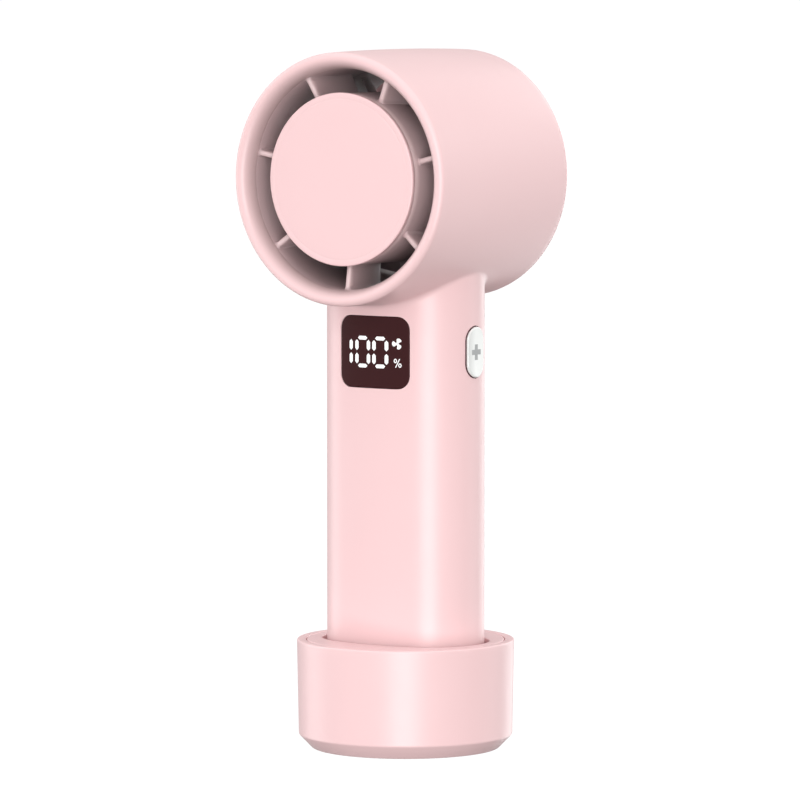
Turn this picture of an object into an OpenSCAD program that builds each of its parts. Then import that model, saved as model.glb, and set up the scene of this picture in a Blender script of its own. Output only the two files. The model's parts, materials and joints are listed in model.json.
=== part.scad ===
// Handheld ducted fan standing in a weighted round stand, all sizes in millimetres.
// Origin: middle of the stand's underside, on the handle's axis. +Z is up and the outlet faces -Y.
// "Ahead" is the distance in front of the handle's axis, so it grows towards the outlet (-Y).

/* [Head] */
// Radius of the drum at its two ends
head_r = 33; // [32.8:0.1:33.6]
// Extra radius at the middle of the drum's length
head_bulge = 0.5; // [0.1:0.1:0.8]
// Distance from the handle's axis forward to the lip
head_front = 31.8; // [31.6:0.1:33]
// Distance from the handle's axis back to the inlet face
head_rear = 28.4; // [28:0.1:30]
// Height of the drum's axis above the table
head_z = 151.8; // [150:0.1:156]
// Inner radius of the air duct
duct_r = 28.8; // [28.7:0.1:29.2]
// Inner radius of the drum's wall
bore_r = 31.2; // [31.1:0.1:31.4]
// Radius of the rounded outer edge of the lip
lip_r = 1.44; // [1:0.1:1.5]
// Depth of the flare between the lip and the duct
flare_depth = 4.4; // [4:0.1:5]

/* [Outlet] */
// Number of fixed vanes across the outlet
vane_count = 7; // [5:2:9]
// Thickness of a vane
vane_t = 1.4; // [1.2:0.1:1.6]
// How far the rear edge of a vane is swept sideways
vane_sweep = 1.8; // [1:0.1:2.2]
// Outer radius of the fixed hub
hub_r = 22.4; // [22.2:0.1:22.6]
// Radius of the disc that closes the hub
hub_cap_r = 22.58; // [22.4:0.01:22.8]
// Depth of the disc's face behind the lip
hub_cap_depth = 1.75; // [1.5:0.05:2.5]

/* [Impeller] */
// Number of impeller blades
blade_count = 9; // [7:1:11]
// Radius at the blade tips
blade_r = 28.2; // [27.6:0.1:28.3]
// Thickness of a blade
blade_t = 1; // [0.8:0.1:1.2]

/* [Handle] */
// Half the width of the handle, side to side
handle_a = 22.2; // [22:0.1:22.6]
// Half the depth of the handle, front to back
handle_b = 15.4; // [15.2:0.1:15.6]
// Radius of the handle's rounded sides
side_r = 14.6; // [14.4:0.1:14.8]
// Wall thickness of the shell
wall = 2; // [1.8:0.1:2.2]
// Height of the handle's lower end above the table
handle_bottom = 7; // [6.8:0.1:7.2]
// Height of the display's centre above the table
display_z = 106; // [105:0.5:107]
// Width and height of the display
display_w = 21.9; // [21:0.1:22.4]
display_h = 19; // [18:0.1:19.4]
// Corner radius of the display
display_corner = 3.5; // [3:0.1:4]
// Height of the two side buttons above the table
button_z = 106; // [105:0.5:107]
// Width and height of a side button
button_w = 7.4; // [7:0.1:7.6]
button_h = 13.4; // [13:0.1:13.6]
// How far the button face stands out of the handle
button_proud = 0.7; // [0.5:0.1:0.9]
// Height of the charging socket above the table
usb_z = 86; // [85.5:0.1:86.5]

/* [Stand] */
// Radius of the stand at its rim
dock_r = 28.86; // [28.8:0.01:29.4]
// Radius of the stand just above its chamfered foot
dock_low_r = 28.4; // [28.2:0.1:28.6]
// Radius of the stand's underside
dock_foot_r = 24.9; // [24.4:0.1:25.4]
// Height of the chamfered foot
dock_foot_h = 3.6; // [3.2:0.1:4]
// Height of the stand
dock_h = 28.9; // [28.6:0.1:29.4]
// Radius of the ring gap between the rim and the inner disc
dock_gap_r = 26.3; // [26.2:0.1:26.5]
// Gap between the handle and the socket's wall
socket_gap = 1.3; // [1.2:0.1:1.4]

/* [Hidden] */
$fn = 96;
EPS = 0.01;
SLIP = 0.1; // gap between parts that are assembled and don't move
FIT = 0.02; // radial gap of a running or pressed round fit

PINK = [0.98, 0.80, 0.81];
DARK = [0.20, 0.12, 0.13];
WHITE = [0.95, 0.95, 0.94];
GREY = [0.55, 0.56, 0.56];
STEEL = [0.72, 0.73, 0.75];
COPPER = [0.78, 0.45, 0.25];
BOARD = [0.10, 0.35, 0.22];
RUBBER = [0.25, 0.24, 0.25];

// ---- places worked out from the driving dimensions ----

// The drum
head_mid = (head_front - head_rear) / 2;
head_half = (head_front + head_rear) / 2;
barrel_steps = 12;
rear_edge_r = 1.2; // rounding of the rear edge, and thickness of the cover there
shell_rear = -head_rear + rear_edge_r;
throat = head_front - flare_depth; // where the flare meets the duct, ahead
flare_steps = 8;

// The outlet
stator_rear = 6; // ahead
stator_plate_t = 2;
vane_front = head_front - 4.3;
vane_inner_front = head_front - 5.5;
vane_rear = vane_front - 18;
vane_steps = 6;
hub_wall = 1.6;
hub_cap_face = head_front - hub_cap_depth;
hub_cap_t = 1.4;

// The impeller, placed by its distance ahead
impeller_front = 5.5;
impeller_rear = -14;
shroud_rear = -16;
blade_inlet = -12.5;
blade_outlet = 4;
blade_steps = 8;

// The motor, placed by its distance ahead
shaft_r = 0.98;
bearing_r = 3;
bearing_w = 3;
bearing_front = 7.6;
bearing_back = -2.6;
tube_r = 4;
tube_rear = -6;
flange_t = 1.2;
flange_r = 11.5;
core_r = 11.4;
core_rear = -4;
core_front = 3;
tooth_count = 9;
magnet_in_r = 11.7;
magnet_out_r = 12.9;
bell_r = 13.95;
bell_wall = 1;
bell_rear = -7.6;
bell_front = 4;
motor_screw_ring = 8.5;
motor_board_at = 12.5;
board_post_ring = 17;
cable_at = 10.9;
cable_x = vane_sway(cable_at);

// The handle
side_x = handle_a - side_r; // centres of the side arcs
face_r = (side_x * side_x + handle_b * handle_b - side_r * side_r) / (2 * (handle_b - side_r));
face_y = face_r - handle_b; // centres of the front and back arcs
tangent_x = side_x * face_r / (face_r - side_r);
cap_t = 2.4;
shell_bottom = handle_bottom + cap_t;
lens_t = 1.6;
mark_t = 0.3;
bar_w = 1.1; // a lit bar of a digit
bar_h = 2.85;
bar_rise = 1.76; // from a digit's middle to the middle of an upright bar
digit_rise = 3.66; // from a digit's middle to the middle of a level bar

// The cells, standard 18650 size
cell_r = 9.2;
cell_h = 65.2;
cell_x = cell_r + 0.1;
cell_bottom = handle_bottom + 7;
cell_top = cell_bottom + cell_h;
strip_t = 0.3;
cradle_bottom = cell_bottom - 1.8;
cradle_top = cell_top + 1.6;

// The boards inside the handle
control_y = 1.8; // front of the control board
lead_y = control_y - 0.65;
board_t = 1.2;
display_board_y = -9.5;
board_top = display_z + 11;
board_screw_x = 11;
board_screw_z = cradle_top + 7;
charge_y = 8.2;

// The buttons
button_slot_gap = 0.25;
button_flange_x = 18.9;
button_stem_x = 18;
switch_x = 17.2;

// The stand
dock_bore_r = dock_gap_r + 0.1;
dock_floor = 2.2;
insert_floor = 1.8;
socket_wall = 1.5;
weight_r = 24;
pad_r = 21.5;
pad_t = 1;
dock_screw_ring = 17.5;

// ---- shared shapes ----

function arc(centre, r, from, to, steps) =
    [for (i = [0 : steps]) let (a = from + (to - from) * i / steps) centre + r * [cos(a), sin(a)]];

function barrel_r(ahead) = head_r + head_bulge * (1 - pow((ahead - head_mid) / head_half, 2));

function vane_sway(ahead) = -vane_sweep * pow((vane_front - ahead) / (vane_front - vane_rear), 2);

function blade_sway(s) = 9 * pow(1 - s, 1.6) - 3;

// Turns a shape so that its +Z points ahead and its +Y points up, on the drum's axis
module on_head() {
    translate([0, 0, head_z]) rotate([90, 0, 0]) children();
}

// The same on the handle's front, at height z
module on_front(z) {
    translate([0, 0, z]) rotate([90, 0, 0]) children();
}

// Turns a shape so that its +Z points to the side (+X) and its +Y points up
module on_side(z) {
    translate([0, 0, z]) rotate([90, 0, 90]) children();
}

module ring(outer, inner, low, high) {
    translate([0, 0, low]) difference() {
        cylinder(r = outer, h = high - low);
        translate([0, 0, -1]) cylinder(r = inner, h = high - low + 2);
    }
}

// Turns a (sideways, ahead) outline about the drum's axis and runs it out along the radius
module radial(inner, outer, angle) {
    rotate([0, 0, angle]) translate([inner, 0, 0]) rotate([90, 0, 90])
        linear_extrude(height = outer - inner) children();
}

// The handle's outline: two side arcs joined by two flatter arcs, grown or shrunk evenly
module oval(grow = 0) {
    translate([side_x, 0]) circle(r = side_r + grow);
    translate([-side_x, 0]) circle(r = side_r + grow);
    intersection() {
        translate([0, face_y]) circle(r = face_r + grow);
        translate([0, -face_y]) circle(r = face_r + grow);
        square([2 * tangent_x, 4 * handle_b], center = true);
    }
}

module oval_prism(grow, low, high) {
    translate([0, 0, low]) linear_extrude(height = high - low) oval(grow);
}

module rounded_rect(w, h, r) {
    square([w - 2 * r, h], center = true);
    square([w, h - 2 * r], center = true);
    for (x = [-1, 1], y = [-1, 1])
        translate([x * (w / 2 - r), y * (h / 2 - r)]) circle(r = r);
}

module pill(w, h) {
    square([w, h - w], center = true);
    for (y = [-1, 1])
        translate([0, y * (h - w) / 2]) circle(r = w / 2);
}

// ---- head ----

module shell_profile() {
    crest_r = barrel_r(head_front - lip_r) - lip_r;
    polygon(concat(
        [[bore_r, throat], [bore_r, shell_rear]],
        [for (i = [0 : barrel_steps])
            let (a = shell_rear + (head_front - lip_r - shell_rear) * i / barrel_steps) [barrel_r(a), a]],
        [for (p = arc([crest_r, head_front - lip_r], lip_r, 15, 90, 5)) p],
        [for (i = [1 : flare_steps])
            let (a = 90 + 90 * i / flare_steps)
                [crest_r + (crest_r - duct_r) * cos(a), throat + flare_depth * sin(a)]]
    ));
}

module outer_shell() {
    color(PINK) difference() {
        union() {
            on_head() rotate_extrude() shell_profile();
            difference() {
                oval_prism(0, shell_bottom, head_z - 20);
                on_head() cylinder(r = (bore_r + head_r) / 2, h = 80, center = true);
            }
        }
        difference() {
            oval_prism(-wall, shell_bottom - 1, head_z - 20);
            on_head() cylinder(r = head_r + head_bulge, h = 80, center = true);
        }
        // display window
        on_front(display_z) linear_extrude(height = 30)
            rounded_rect(display_w + SLIP, display_h + SLIP, display_corner + SLIP / 2);
        // button slots
        on_side(button_z) translate([0, 0, -40]) linear_extrude(height = 80)
            pill(button_w + 2 * button_slot_gap, button_h + 2 * button_slot_gap);
        // charging port
        on_front(usb_z) translate([0, 0, -30]) linear_extrude(height = 30)
            rotate([0, 0, 90]) pill(3.7, 9.4);
        // way for the motor's cable
        on_head() translate([cable_x - 0.5, -bore_r - 4, cable_at - 1.1]) cube([1, 5, 2.2]);
    }
}

module rear_grille() {
    rim_r = barrel_r(shell_rear);
    grille_front = -26.9;
    spigot_r = bore_r - SLIP;
    color(PINK) on_head() union() {
        rotate_extrude() polygon(concat(
            [[27.5, -head_rear]],
            arc([rim_r - rear_edge_r, shell_rear], rear_edge_r, -90, 0, 5),
            [[spigot_r, shell_rear], [spigot_r, -24.2], [29.6, -24.2], [29.6, grille_front],
             [27.5, grille_front]]
        ));
        for (r = [8.6, 13.3, 18, 22.7])
            ring(r + 0.6, r - 0.6, -head_rear + 0.2, grille_front);
        translate([0, 0, -head_rear + 0.2]) cylinder(r = 4.5, h = head_rear + grille_front - 0.2);
        for (i = [0 : 11])
            rotate([0, 0, i * 30]) translate([3, -0.6, -head_rear + 0.3])
                cube([25, 1.2, head_rear + grille_front - 0.4]);
    }
}

module vane_section() {
    ahead = [for (i = [0 : vane_steps]) vane_rear + (vane_front - vane_rear) * i / vane_steps];
    polygon(concat(
        [for (a = ahead) [vane_sway(a) - vane_t / 2, a]],
        [for (i = [vane_steps : -1 : 0]) [vane_sway(ahead[i]) + vane_t / 2, ahead[i]]]
    ));
}

module stator_vanes() {
    ring_r = bore_r - SLIP;
    color(PINK) on_head() difference() {
        union() {
            ring(ring_r, duct_r, stator_rear, throat);
            ring(hub_r, hub_r - hub_wall, stator_rear, hub_cap_face - hub_cap_t);
            ring(hub_r - 0.5, tube_r + SLIP, stator_rear, stator_rear + stator_plate_t);
            for (i = [0 : 2])
                rotate([0, 0, 90 + i * 120]) translate([board_post_ring, 0, stator_rear + 1])
                    cylinder(r = 1.6, h = motor_board_at - stator_rear - 1);
            difference() {
                for (i = [0 : vane_count - 1])
                    radial(hub_r - 0.4, duct_r + 0.4, 270 + i * 360 / vane_count) vane_section();
                rotate_extrude() polygon([
                    [hub_r - 1, vane_inner_front], [duct_r, throat], [duct_r + 1, throat],
                    [duct_r + 1, head_front], [hub_r - 1, head_front]
                ]);
            }
        }
        for (i = [0 : 2])
            rotate([0, 0, 30 + i * 120]) translate([motor_screw_ring, 0, stator_rear - 1])
                cylinder(r = 1.1, h = stator_plate_t + 2);
        // channel for the motor's cable through the hub wall, the bottom vane and the ring
        translate([cable_x - 0.3, -ring_r - 1, cable_at - 0.9])
            cube([0.6, ring_r - hub_r + hub_wall + 2, 1.8]);
    }
}

module hub_cap() {
    edge = 0.5;
    back = hub_cap_face - hub_cap_t;
    skirt_r = hub_r - hub_wall - SLIP;
    color(PINK) on_head() difference() {
        rotate_extrude() polygon(concat(
            [[0, back], [skirt_r - 1.2, back], [skirt_r - 1.2, back - 4], [skirt_r, back - 4],
             [skirt_r, back], [hub_cap_r, back]],
            arc([hub_cap_r - edge, hub_cap_face - edge], edge, 0, 90, 4),
            [[0, hub_cap_face]]
        ));
        // faint ring near the disc's edge
        ring(21.1, 20.8, hub_cap_face - 0.15, hub_cap_face + 1);
    }
}

module impeller_shroud() {
    color(PINK) on_head() rotate_extrude() polygon([
        [duct_r, stator_rear - EPS], [bore_r - SLIP, stator_rear - EPS],
        [bore_r - SLIP, shroud_rear], [30.6, shroud_rear], [29.4, shroud_rear + 1.4],
        [duct_r, shroud_rear + 4]
    ]);
}

// ---- impeller and motor ----

function hub_line(inset) = [
    [22 - inset, impeller_front], [21.6 - inset, 0], [19.6 - inset, -5], [15.6 - inset, -10],
    [9 - inset, -13.4 + inset], [4.6, impeller_rear + inset]
];

module blade_section() {
    steps = [for (i = [0 : blade_steps]) i / blade_steps];
    polygon(concat(
        [for (s = steps) [blade_sway(s) - blade_t / 2, blade_inlet + (blade_outlet - blade_inlet) * s]],
        [for (i = [blade_steps : -1 : 0]) let (s = steps[i])
            [blade_sway(s) + blade_t / 2, blade_inlet + (blade_outlet - blade_inlet) * s]]
    ));
}

module impeller() {
    cavity_r = bell_r + 0.05;
    cavity_rear = bell_rear - 0.05;
    color(PINK) on_head() difference() {
        union() {
            rotate_extrude() polygon(concat([[0, impeller_front]], hub_line(0), [[0, impeller_rear]]));
            difference() {
                intersection() {
                    for (i = [0 : blade_count - 1])
                        radial(6, blade_r + 3, i * 360 / blade_count) blade_section();
                    translate([0, 0, -20]) cylinder(r = blade_r, h = 40);
                }
                rotate_extrude() polygon(concat([[0, impeller_front]], hub_line(0.7), [[0, impeller_rear + 0.7]]));
            }
        }
        translate([0, 0, cavity_rear]) cylinder(r = cavity_r, h = 30);
        rotate_extrude() polygon([
            [cavity_r + 1.4, 10], [20.4, 10], [20.4, impeller_front - 1], [20, 0], [18, -4.6],
            [cavity_r + 1.4, -6.6]
        ]);
        translate([0, 0, impeller_rear + 1.5]) cylinder(r = shaft_r + FIT, h = 20);
        translate([0, 0, impeller_rear - 1]) cylinder(r = 3.2, h = 2);
    }
}

module impeller_nose() {
    color(PINK) on_head() rotate_extrude() polygon(concat(
        [[0, impeller_rear + 0.9], [3.1, impeller_rear + 0.9], [3.1, impeller_rear]],
        [for (p = arc([0, impeller_rear], 1, 0, -90, 6)) [p[0] * 4.6, impeller_rear + (p[1] - impeller_rear) * 2]]
    ));
}

module rotor_bell() {
    color(STEEL) on_head() difference() {
        translate([0, 0, bell_rear]) cylinder(r = bell_r, h = bell_front - bell_rear);
        translate([0, 0, bell_rear + bell_wall]) cylinder(r = bell_r - bell_wall, h = 30);
        translate([0, 0, bell_rear - 1]) cylinder(r = shaft_r + FIT, h = 5);
        for (i = [0 : 5])
            rotate([0, 0, i * 60]) translate([8, 0, bell_rear - 1]) cylinder(r = 1.8, h = 5);
    }
}

module magnet_ring() {
    color(GREY) on_head() ring(magnet_out_r, magnet_in_r, core_rear - 1, core_front + 0.5);
}

module motor_shaft() {
    groove = bearing_front + 0.1;
    color(STEEL) on_head() difference() {
        translate([0, 0, impeller_rear + 1.6]) cylinder(r = shaft_r, h = 22.4);
        ring(shaft_r + 1, 0.7, groove, groove + 0.4);
    }
}

module motor_bearings() {
    color(STEEL) on_head() for (front = [bearing_front, bearing_back])
        difference() {
            ring(bearing_r, shaft_r + FIT, front - bearing_w, front);
            ring(bearing_r - 0.5, shaft_r + 0.5, front - 0.2, front + 1);
            ring(bearing_r - 0.5, shaft_r + 0.5, front - bearing_w - 1, front - bearing_w + 0.2);
        }
}

module shaft_clip() {
    color(STEEL) on_head() difference() {
        ring(2, 0.75, bearing_front + 0.15, bearing_front + 0.45);
        translate([-0.5, 0, bearing_front]) cube([1, 5, 1]);
    }
}

module motor_bracket() {
    color(STEEL) on_head() difference() {
        union() {
            translate([0, 0, tube_rear]) cylinder(r = tube_r, h = stator_rear + stator_plate_t - tube_rear);
            translate([0, 0, stator_rear - flange_t]) cylinder(r = flange_r, h = flange_t);
        }
        translate([0, 0, tube_rear - 1]) cylinder(r = 2.4, h = 30);
        translate([0, 0, bearing_front - bearing_w]) cylinder(r = bearing_r + FIT, h = 10);
        translate([0, 0, tube_rear - 1]) cylinder(r = bearing_r + FIT, h = bearing_back - tube_rear + 1);
        for (i = [0 : 2])
            rotate([0, 0, 30 + i * 120]) translate([motor_screw_ring, 0, 0]) cylinder(r = 1, h = 10);
    }
}

module motor_screws() {
    head_at = stator_rear + stator_plate_t;
    color(STEEL) on_head() for (i = [0 : 2])
        rotate([0, 0, 30 + i * 120]) translate([motor_screw_ring, 0, 0]) {
            translate([0, 0, stator_rear - flange_t]) cylinder(r = 0.95, h = flange_t + stator_plate_t);
            difference() {
                translate([0, 0, head_at]) cylinder(r = 1.8, h = 1.2);
                translate([-0.2, -1.3, head_at + 0.6]) cube([0.4, 2.6, 1]);
                translate([-1.3, -0.2, head_at + 0.6]) cube([2.6, 0.4, 1]);
            }
        }
}

module stator_core() {
    hub_out = 6.2;
    tip_in = core_r - 1.2;
    color(GREY) on_head() translate([0, 0, core_rear]) linear_extrude(height = core_front - core_rear) {
        difference() {
            circle(r = hub_out);
            circle(r = tube_r + 0.05);
        }
        for (i = [0 : tooth_count - 1])
            rotate(i * 360 / tooth_count) translate([hub_out - 0.3, -0.9]) square([tip_in - hub_out + 0.6, 1.8]);
        difference() {
            circle(r = core_r);
            circle(r = tip_in);
            for (i = [0 : tooth_count - 1])
                rotate((i + 0.5) * 360 / tooth_count) translate([tip_in - 1, -0.5]) square([4, 1]);
        }
    }
}

module motor_coils() {
    coil_low = core_rear - 1.2;
    coil_h = core_front - core_rear + 2.4;
    color(COPPER) on_head() for (i = [0 : tooth_count - 1])
        rotate([0, 0, i * 360 / tooth_count]) difference() {
            translate([6.9, -1.75, coil_low]) cube([3, 3.5, coil_h]);
            translate([6, -0.95, core_rear - 0.05]) cube([6, 1.9, core_front - core_rear + 0.1]);
        }
}

module motor_board() {
    color(BOARD) on_head() {
        ring(20.4, 5.5, motor_board_at, motor_board_at + board_t);
        for (i = [0 : 2])
            rotate([0, 0, 90 + i * 120]) translate([9, -2, motor_board_at + board_t]) cube([5, 4, 1.4]);
        rotate([0, 0, 30]) translate([10, -2.5, motor_board_at + board_t]) cube([5, 5, 1]);
        translate([cable_x - 2, -19.5, motor_board_at - 0.7]) cube([4, 3, 0.7]);
    }
}

// Flat cable: out of the hub, inside the bottom vane and down to the control board
module motor_cable() {
    half = 0.75;
    top = head_z - 18;
    turn = head_z - head_r - head_bulge - 1.6;
    drop_y = -1.3;
    low = board_top - 7;
    color(RUBBER) translate([cable_x - 0.2, 0, 0]) rotate([90, 0, 90]) linear_extrude(height = 0.4) polygon([
        [-cable_at - half, top], [-cable_at + half, top], [-cable_at + half, turn + half],
        [drop_y + half, turn + half], [drop_y + half, low], [drop_y - half, low],
        [drop_y - half, turn - half], [-cable_at - half, turn - half]
    ]);
}

// ---- handle ----

module display_lens() {
    color(DARK) difference() {
        intersection() {
            oval_prism(0, display_z - 20, display_z + 20);
            on_front(display_z) linear_extrude(height = 30)
                rounded_rect(display_w, display_h, display_corner);
        }
        oval_prism(-lens_t, display_z - 30, display_z + 30);
        difference() {
            on_front(display_z) linear_extrude(height = 30) display_marks();
            oval_prism(-mark_t, display_z - 30, display_z + 30);
        }
    }
}

// One lit bar of a digit: pointed at both ends, standing upright
module bar(w, h) {
    tip = w / 2;
    polygon([
        [0, h / 2], [tip, h / 2 - tip], [tip, tip - h / 2],
        [0, -h / 2], [-tip, tip - h / 2], [-tip, h / 2 - tip]
    ]);
}

module digit_zero(left, right) {
    for (x = [left, right], y = [-1, 1])
        translate([x, y * bar_rise]) bar(bar_w, bar_h);
    for (y = [-1, 1])
        translate([(left + right) / 2, y * digit_rise]) rotate([0, 0, 90]) bar(1, 3.1);
}

module fan_icon() {
    for (i = [0 : 2])
        rotate([0, 0, 100 + i * 120])
            polygon([
                [-0.1, -0.15], [0.35, -0.14], [0.7, -0.28], [1.05, -0.34], [1.28, -0.05],
                [1.3, 0.36], [1, 0.7], [0.55, 0.66], [0.1, 0.25]
            ]);
}

module percent_sign() {
    for (s = [-1, 1])
        translate([s * 0.74, -s * 0.64]) difference() {
            circle(r = 0.48);
            circle(r = 0.24);
        }
    rotate([0, 0, -32]) square([0.22, 2.6], center = true);
}

module display_marks() {
    for (y = [-1, 1])
        translate([-7.2, y * bar_rise]) bar(bar_w, bar_h);
    digit_zero(-5.2, -1.35);
    digit_zero(0.42, 4.27);
    translate([7.5, 2.3]) fan_icon();
    translate([7.65, -2.6]) percent_sign();
}

module display_segments() {
    color(WHITE) difference() {
        intersection() {
            oval_prism(0, display_z - 20, display_z + 20);
            on_front(display_z) linear_extrude(height = 30) display_marks();
        }
        oval_prism(-mark_t, display_z - 30, display_z + 30);
    }
}

// White reflector that leads the light to the digits
module display_frame() {
    color(WHITE) on_front(display_z) translate([0, 0, 9.6]) difference() {
        translate([-9.5, -8.5, 0]) cube([19, 17, 3.1]);
        translate([-8.6, -4.6, -1]) cube([2.2, 9.6, 6]);
        translate([-5.6, -4.6, -1]) cube([4.2, 9.6, 6]);
        translate([-0.6, -4.6, -1]) cube([4.6, 9.6, 6]);
        translate([5.4, -4.6, -1]) cube([3.4, 9.6, 6]);
    }
}

module display_board() {
    color(BOARD) {
        translate([-10, display_board_y, display_z - 11]) cube([20, 1, 20.4]);
        translate([4, display_board_y + 1, display_z - 8]) cube([2.5, control_y - display_board_y - 1, 10]);
        for (x = [-7.5, -3.5, 1.7])
            translate([x - 0.8, display_board_y - 0.7, display_z - 1]) cube([1.6, 0.7, 2]);
    }
}

module button_body() {
    color(WHITE) union() {
        intersection() {
            on_side(button_z) translate([0, 0, button_flange_x - 0.5]) linear_extrude(height = 10)
                pill(button_w, button_h);
            oval_prism(button_proud, button_z - 20, button_z + 20);
        }
        on_side(button_z) translate([0, 0, button_stem_x + 0.3])
            linear_extrude(height = button_flange_x - button_stem_x - 0.3) pill(button_w + 1.6, button_h + 1.6);
        on_side(button_z) translate([0, 0, button_stem_x]) cylinder(r = 1.5, h = 1);
    }
}

// The printed mark on a button's face, as a skin over it
module face_mark() {
    color(GREY) difference() {
        intersection() {
            on_side(button_z) linear_extrude(height = 30) children();
            oval_prism(button_proud + 0.04, button_z - 20, button_z + 20);
        }
        oval_prism(button_proud, button_z - 20, button_z + 20);
    }
}

module plus_sign() {
    square([4.1, 1.35], center = true);
    square([1.35, 4.1], center = true);
}

module plus_button() {
    button_body();
}

module plus_mark() {
    face_mark() plus_sign();
}

module minus_button() {
    mirror([1, 0, 0]) button_body();
}

module minus_mark() {
    mirror([1, 0, 0]) face_mark() square([4.1, 1.35], center = true);
}

module control_board() {
    low = cradle_top + 3;
    color(BOARD) {
        difference() {
            translate([-15, control_y, low]) cube([30, board_t, board_top - low]);
            for (x = [-1, 1])
                translate([x * board_screw_x, 0, board_screw_z]) rotate([-90, 0, 0]) cylinder(r = 1.1, h = 10);
        }
        translate([-5, control_y + board_t, display_z - 4]) cube([7, 1.2, 7]);
        translate([5, control_y + board_t, display_z - 3]) cube([5, 2.4, 5]);
        translate([-12, control_y + board_t, display_z + 4]) cube([4, 1.8, 4]);
        translate([cable_x - 2, control_y - 4, board_top - 9]) cube([4, 4, 2]);
    }
}

module button_switches() {
    color(GREY) for (s = [0, 1])
        mirror([s, 0, 0]) {
            translate([11.8, -control_y, button_z - 2]) cube([3.2, 2 * control_y, 4]);
            on_side(button_z) translate([0, 0, 15]) cylinder(r = 1, h = switch_x - 15);
        }
}

module board_screws() {
    color(STEEL) for (x = [-1, 1])
        translate([x * board_screw_x, 0, board_screw_z]) rotate([-90, 0, 0]) difference() {
            union() {
                translate([0, 0, control_y - 1.2]) cylinder(r = 1.8, h = 1.2);
                translate([0, 0, control_y]) cylinder(r = 0.9, h = 4.6);
            }
            translate([-0.2, -1.2, 0]) cube([0.4, 2.4, control_y - 0.6]);
            translate([-1.2, -0.2, 0]) cube([2.4, 0.4, control_y - 0.6]);
        }
}

module charge_board() {
    color(BOARD) {
        translate([-7, charge_y, usb_z - 4.4]) cube([14, 1, 11]);
        translate([-4, control_y + board_t, usb_z + 2]) cube([8, charge_y - control_y - board_t, 2.5]);
    }
}

module usb_socket() {
    mouth = 14.9;
    back = charge_y + 1;
    color(STEEL) on_front(usb_z) {
        difference() {
            translate([0, 0, -mouth]) linear_extrude(height = mouth - back) rotate([0, 0, 90]) pill(3.26, 8.94);
            translate([0, 0, -mouth - 1]) linear_extrude(height = mouth - back) rotate([0, 0, 90]) pill(2.56, 8.24);
        }
        translate([-3.35, -0.35, -mouth + 0.6]) cube([6.7, 0.7, mouth - back - 1.2]);
    }
}

module battery_cell() {
    color(GREY) union() {
        translate([0, 0, cell_bottom]) cylinder(r = cell_r, h = cell_h - 0.8);
        translate([0, 0, cell_top - 1]) cylinder(r = 3.2, h = 1);
    }
}

module battery_cell_left() {
    translate([-cell_x, 0, 0]) battery_cell();
}

module battery_cell_right() {
    translate([cell_x, 0, 0]) battery_cell();
}

// Trough that holds both cells, with two posts for the control board
module battery_cradle() {
    low = cell_bottom - strip_t - 0.05;
    high = cell_top + strip_t + 0.05;
    color(WHITE) difference() {
        union() {
            oval_prism(-wall - 0.3, cradle_bottom, cradle_top);
            for (x = [-1, 1])
                translate([x * board_screw_x - 2, control_y + board_t, cradle_top - 1])
                    cube([4, 4, board_screw_z - cradle_top + 3.5]);
        }
        for (x = [-1, 1]) {
            translate([x * cell_x, 0, low]) cylinder(r = cell_r + 0.15, h = high - low);
            translate([x * cell_x - cell_r - 0.15, -20, low + 9])
                cube([2 * cell_r + 0.3, 20, high - low - 9]);
            translate([x * board_screw_x, control_y, board_screw_z]) rotate([-90, 0, 0])
                cylinder(r = 0.95, h = 10);
            translate([x * 6, lead_y, cradle_top - 2]) cylinder(r = 0.8, h = 4);
            translate([0, x * 8.4, cradle_bottom - 1]) cylinder(r = 0.95, h = 9);
        }
        translate([-cell_x, -3.1, low]) cube([2 * cell_x, 6.2, strip_t + 0.1]);
    }
}

module cell_strips() {
    color(STEEL) {
        for (x = [-1, 1])
            translate([x * cell_x - 3, -3, cell_top]) cube([6, 6, strip_t]);
        translate([-cell_x - 3, -3, cell_bottom - strip_t]) cube([2 * cell_x + 6, 6, strip_t]);
    }
}

module battery_leads() {
    color(DARK) for (x = [-1, 1])
        translate([x * 6, lead_y, cell_top + strip_t])
            cylinder(r = 0.6, h = cradle_top + 6 - cell_top - strip_t);
}

module bottom_cap() {
    color(PINK) difference() {
        union() {
            oval_prism(-0.6, handle_bottom, handle_bottom + 0.6);
            oval_prism(0, handle_bottom + 0.6, shell_bottom);
            difference() {
                oval_prism(-wall - SLIP, shell_bottom - EPS, cradle_bottom - 0.1);
                oval_prism(-wall - 1.4, shell_bottom, cradle_bottom + 1);
            }
        }
        for (y = [-1, 1]) {
            translate([0, y * 8.4, handle_bottom - 1]) cylinder(r = 1.1, h = 10);
            translate([0, y * 8.4, handle_bottom - 1]) cylinder(r = 2.1, h = 2.3);
        }
    }
}

module cap_screws() {
    head_top = handle_bottom + 1.3;
    color(STEEL) for (y = [-1, 1])
        translate([0, y * 8.4, 0]) difference() {
            union() {
                translate([0, 0, head_top - 1.1]) cylinder(r = 1.9, h = 1.1);
                translate([0, 0, head_top]) cylinder(r = 0.9, h = 10);
            }
            translate([-0.2, -1.2, 0]) cube([0.4, 2.4, head_top - 0.5]);
            translate([-1.2, -0.2, 0]) cube([2.4, 0.4, head_top - 0.5]);
        }
}

// ---- stand ----

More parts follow.
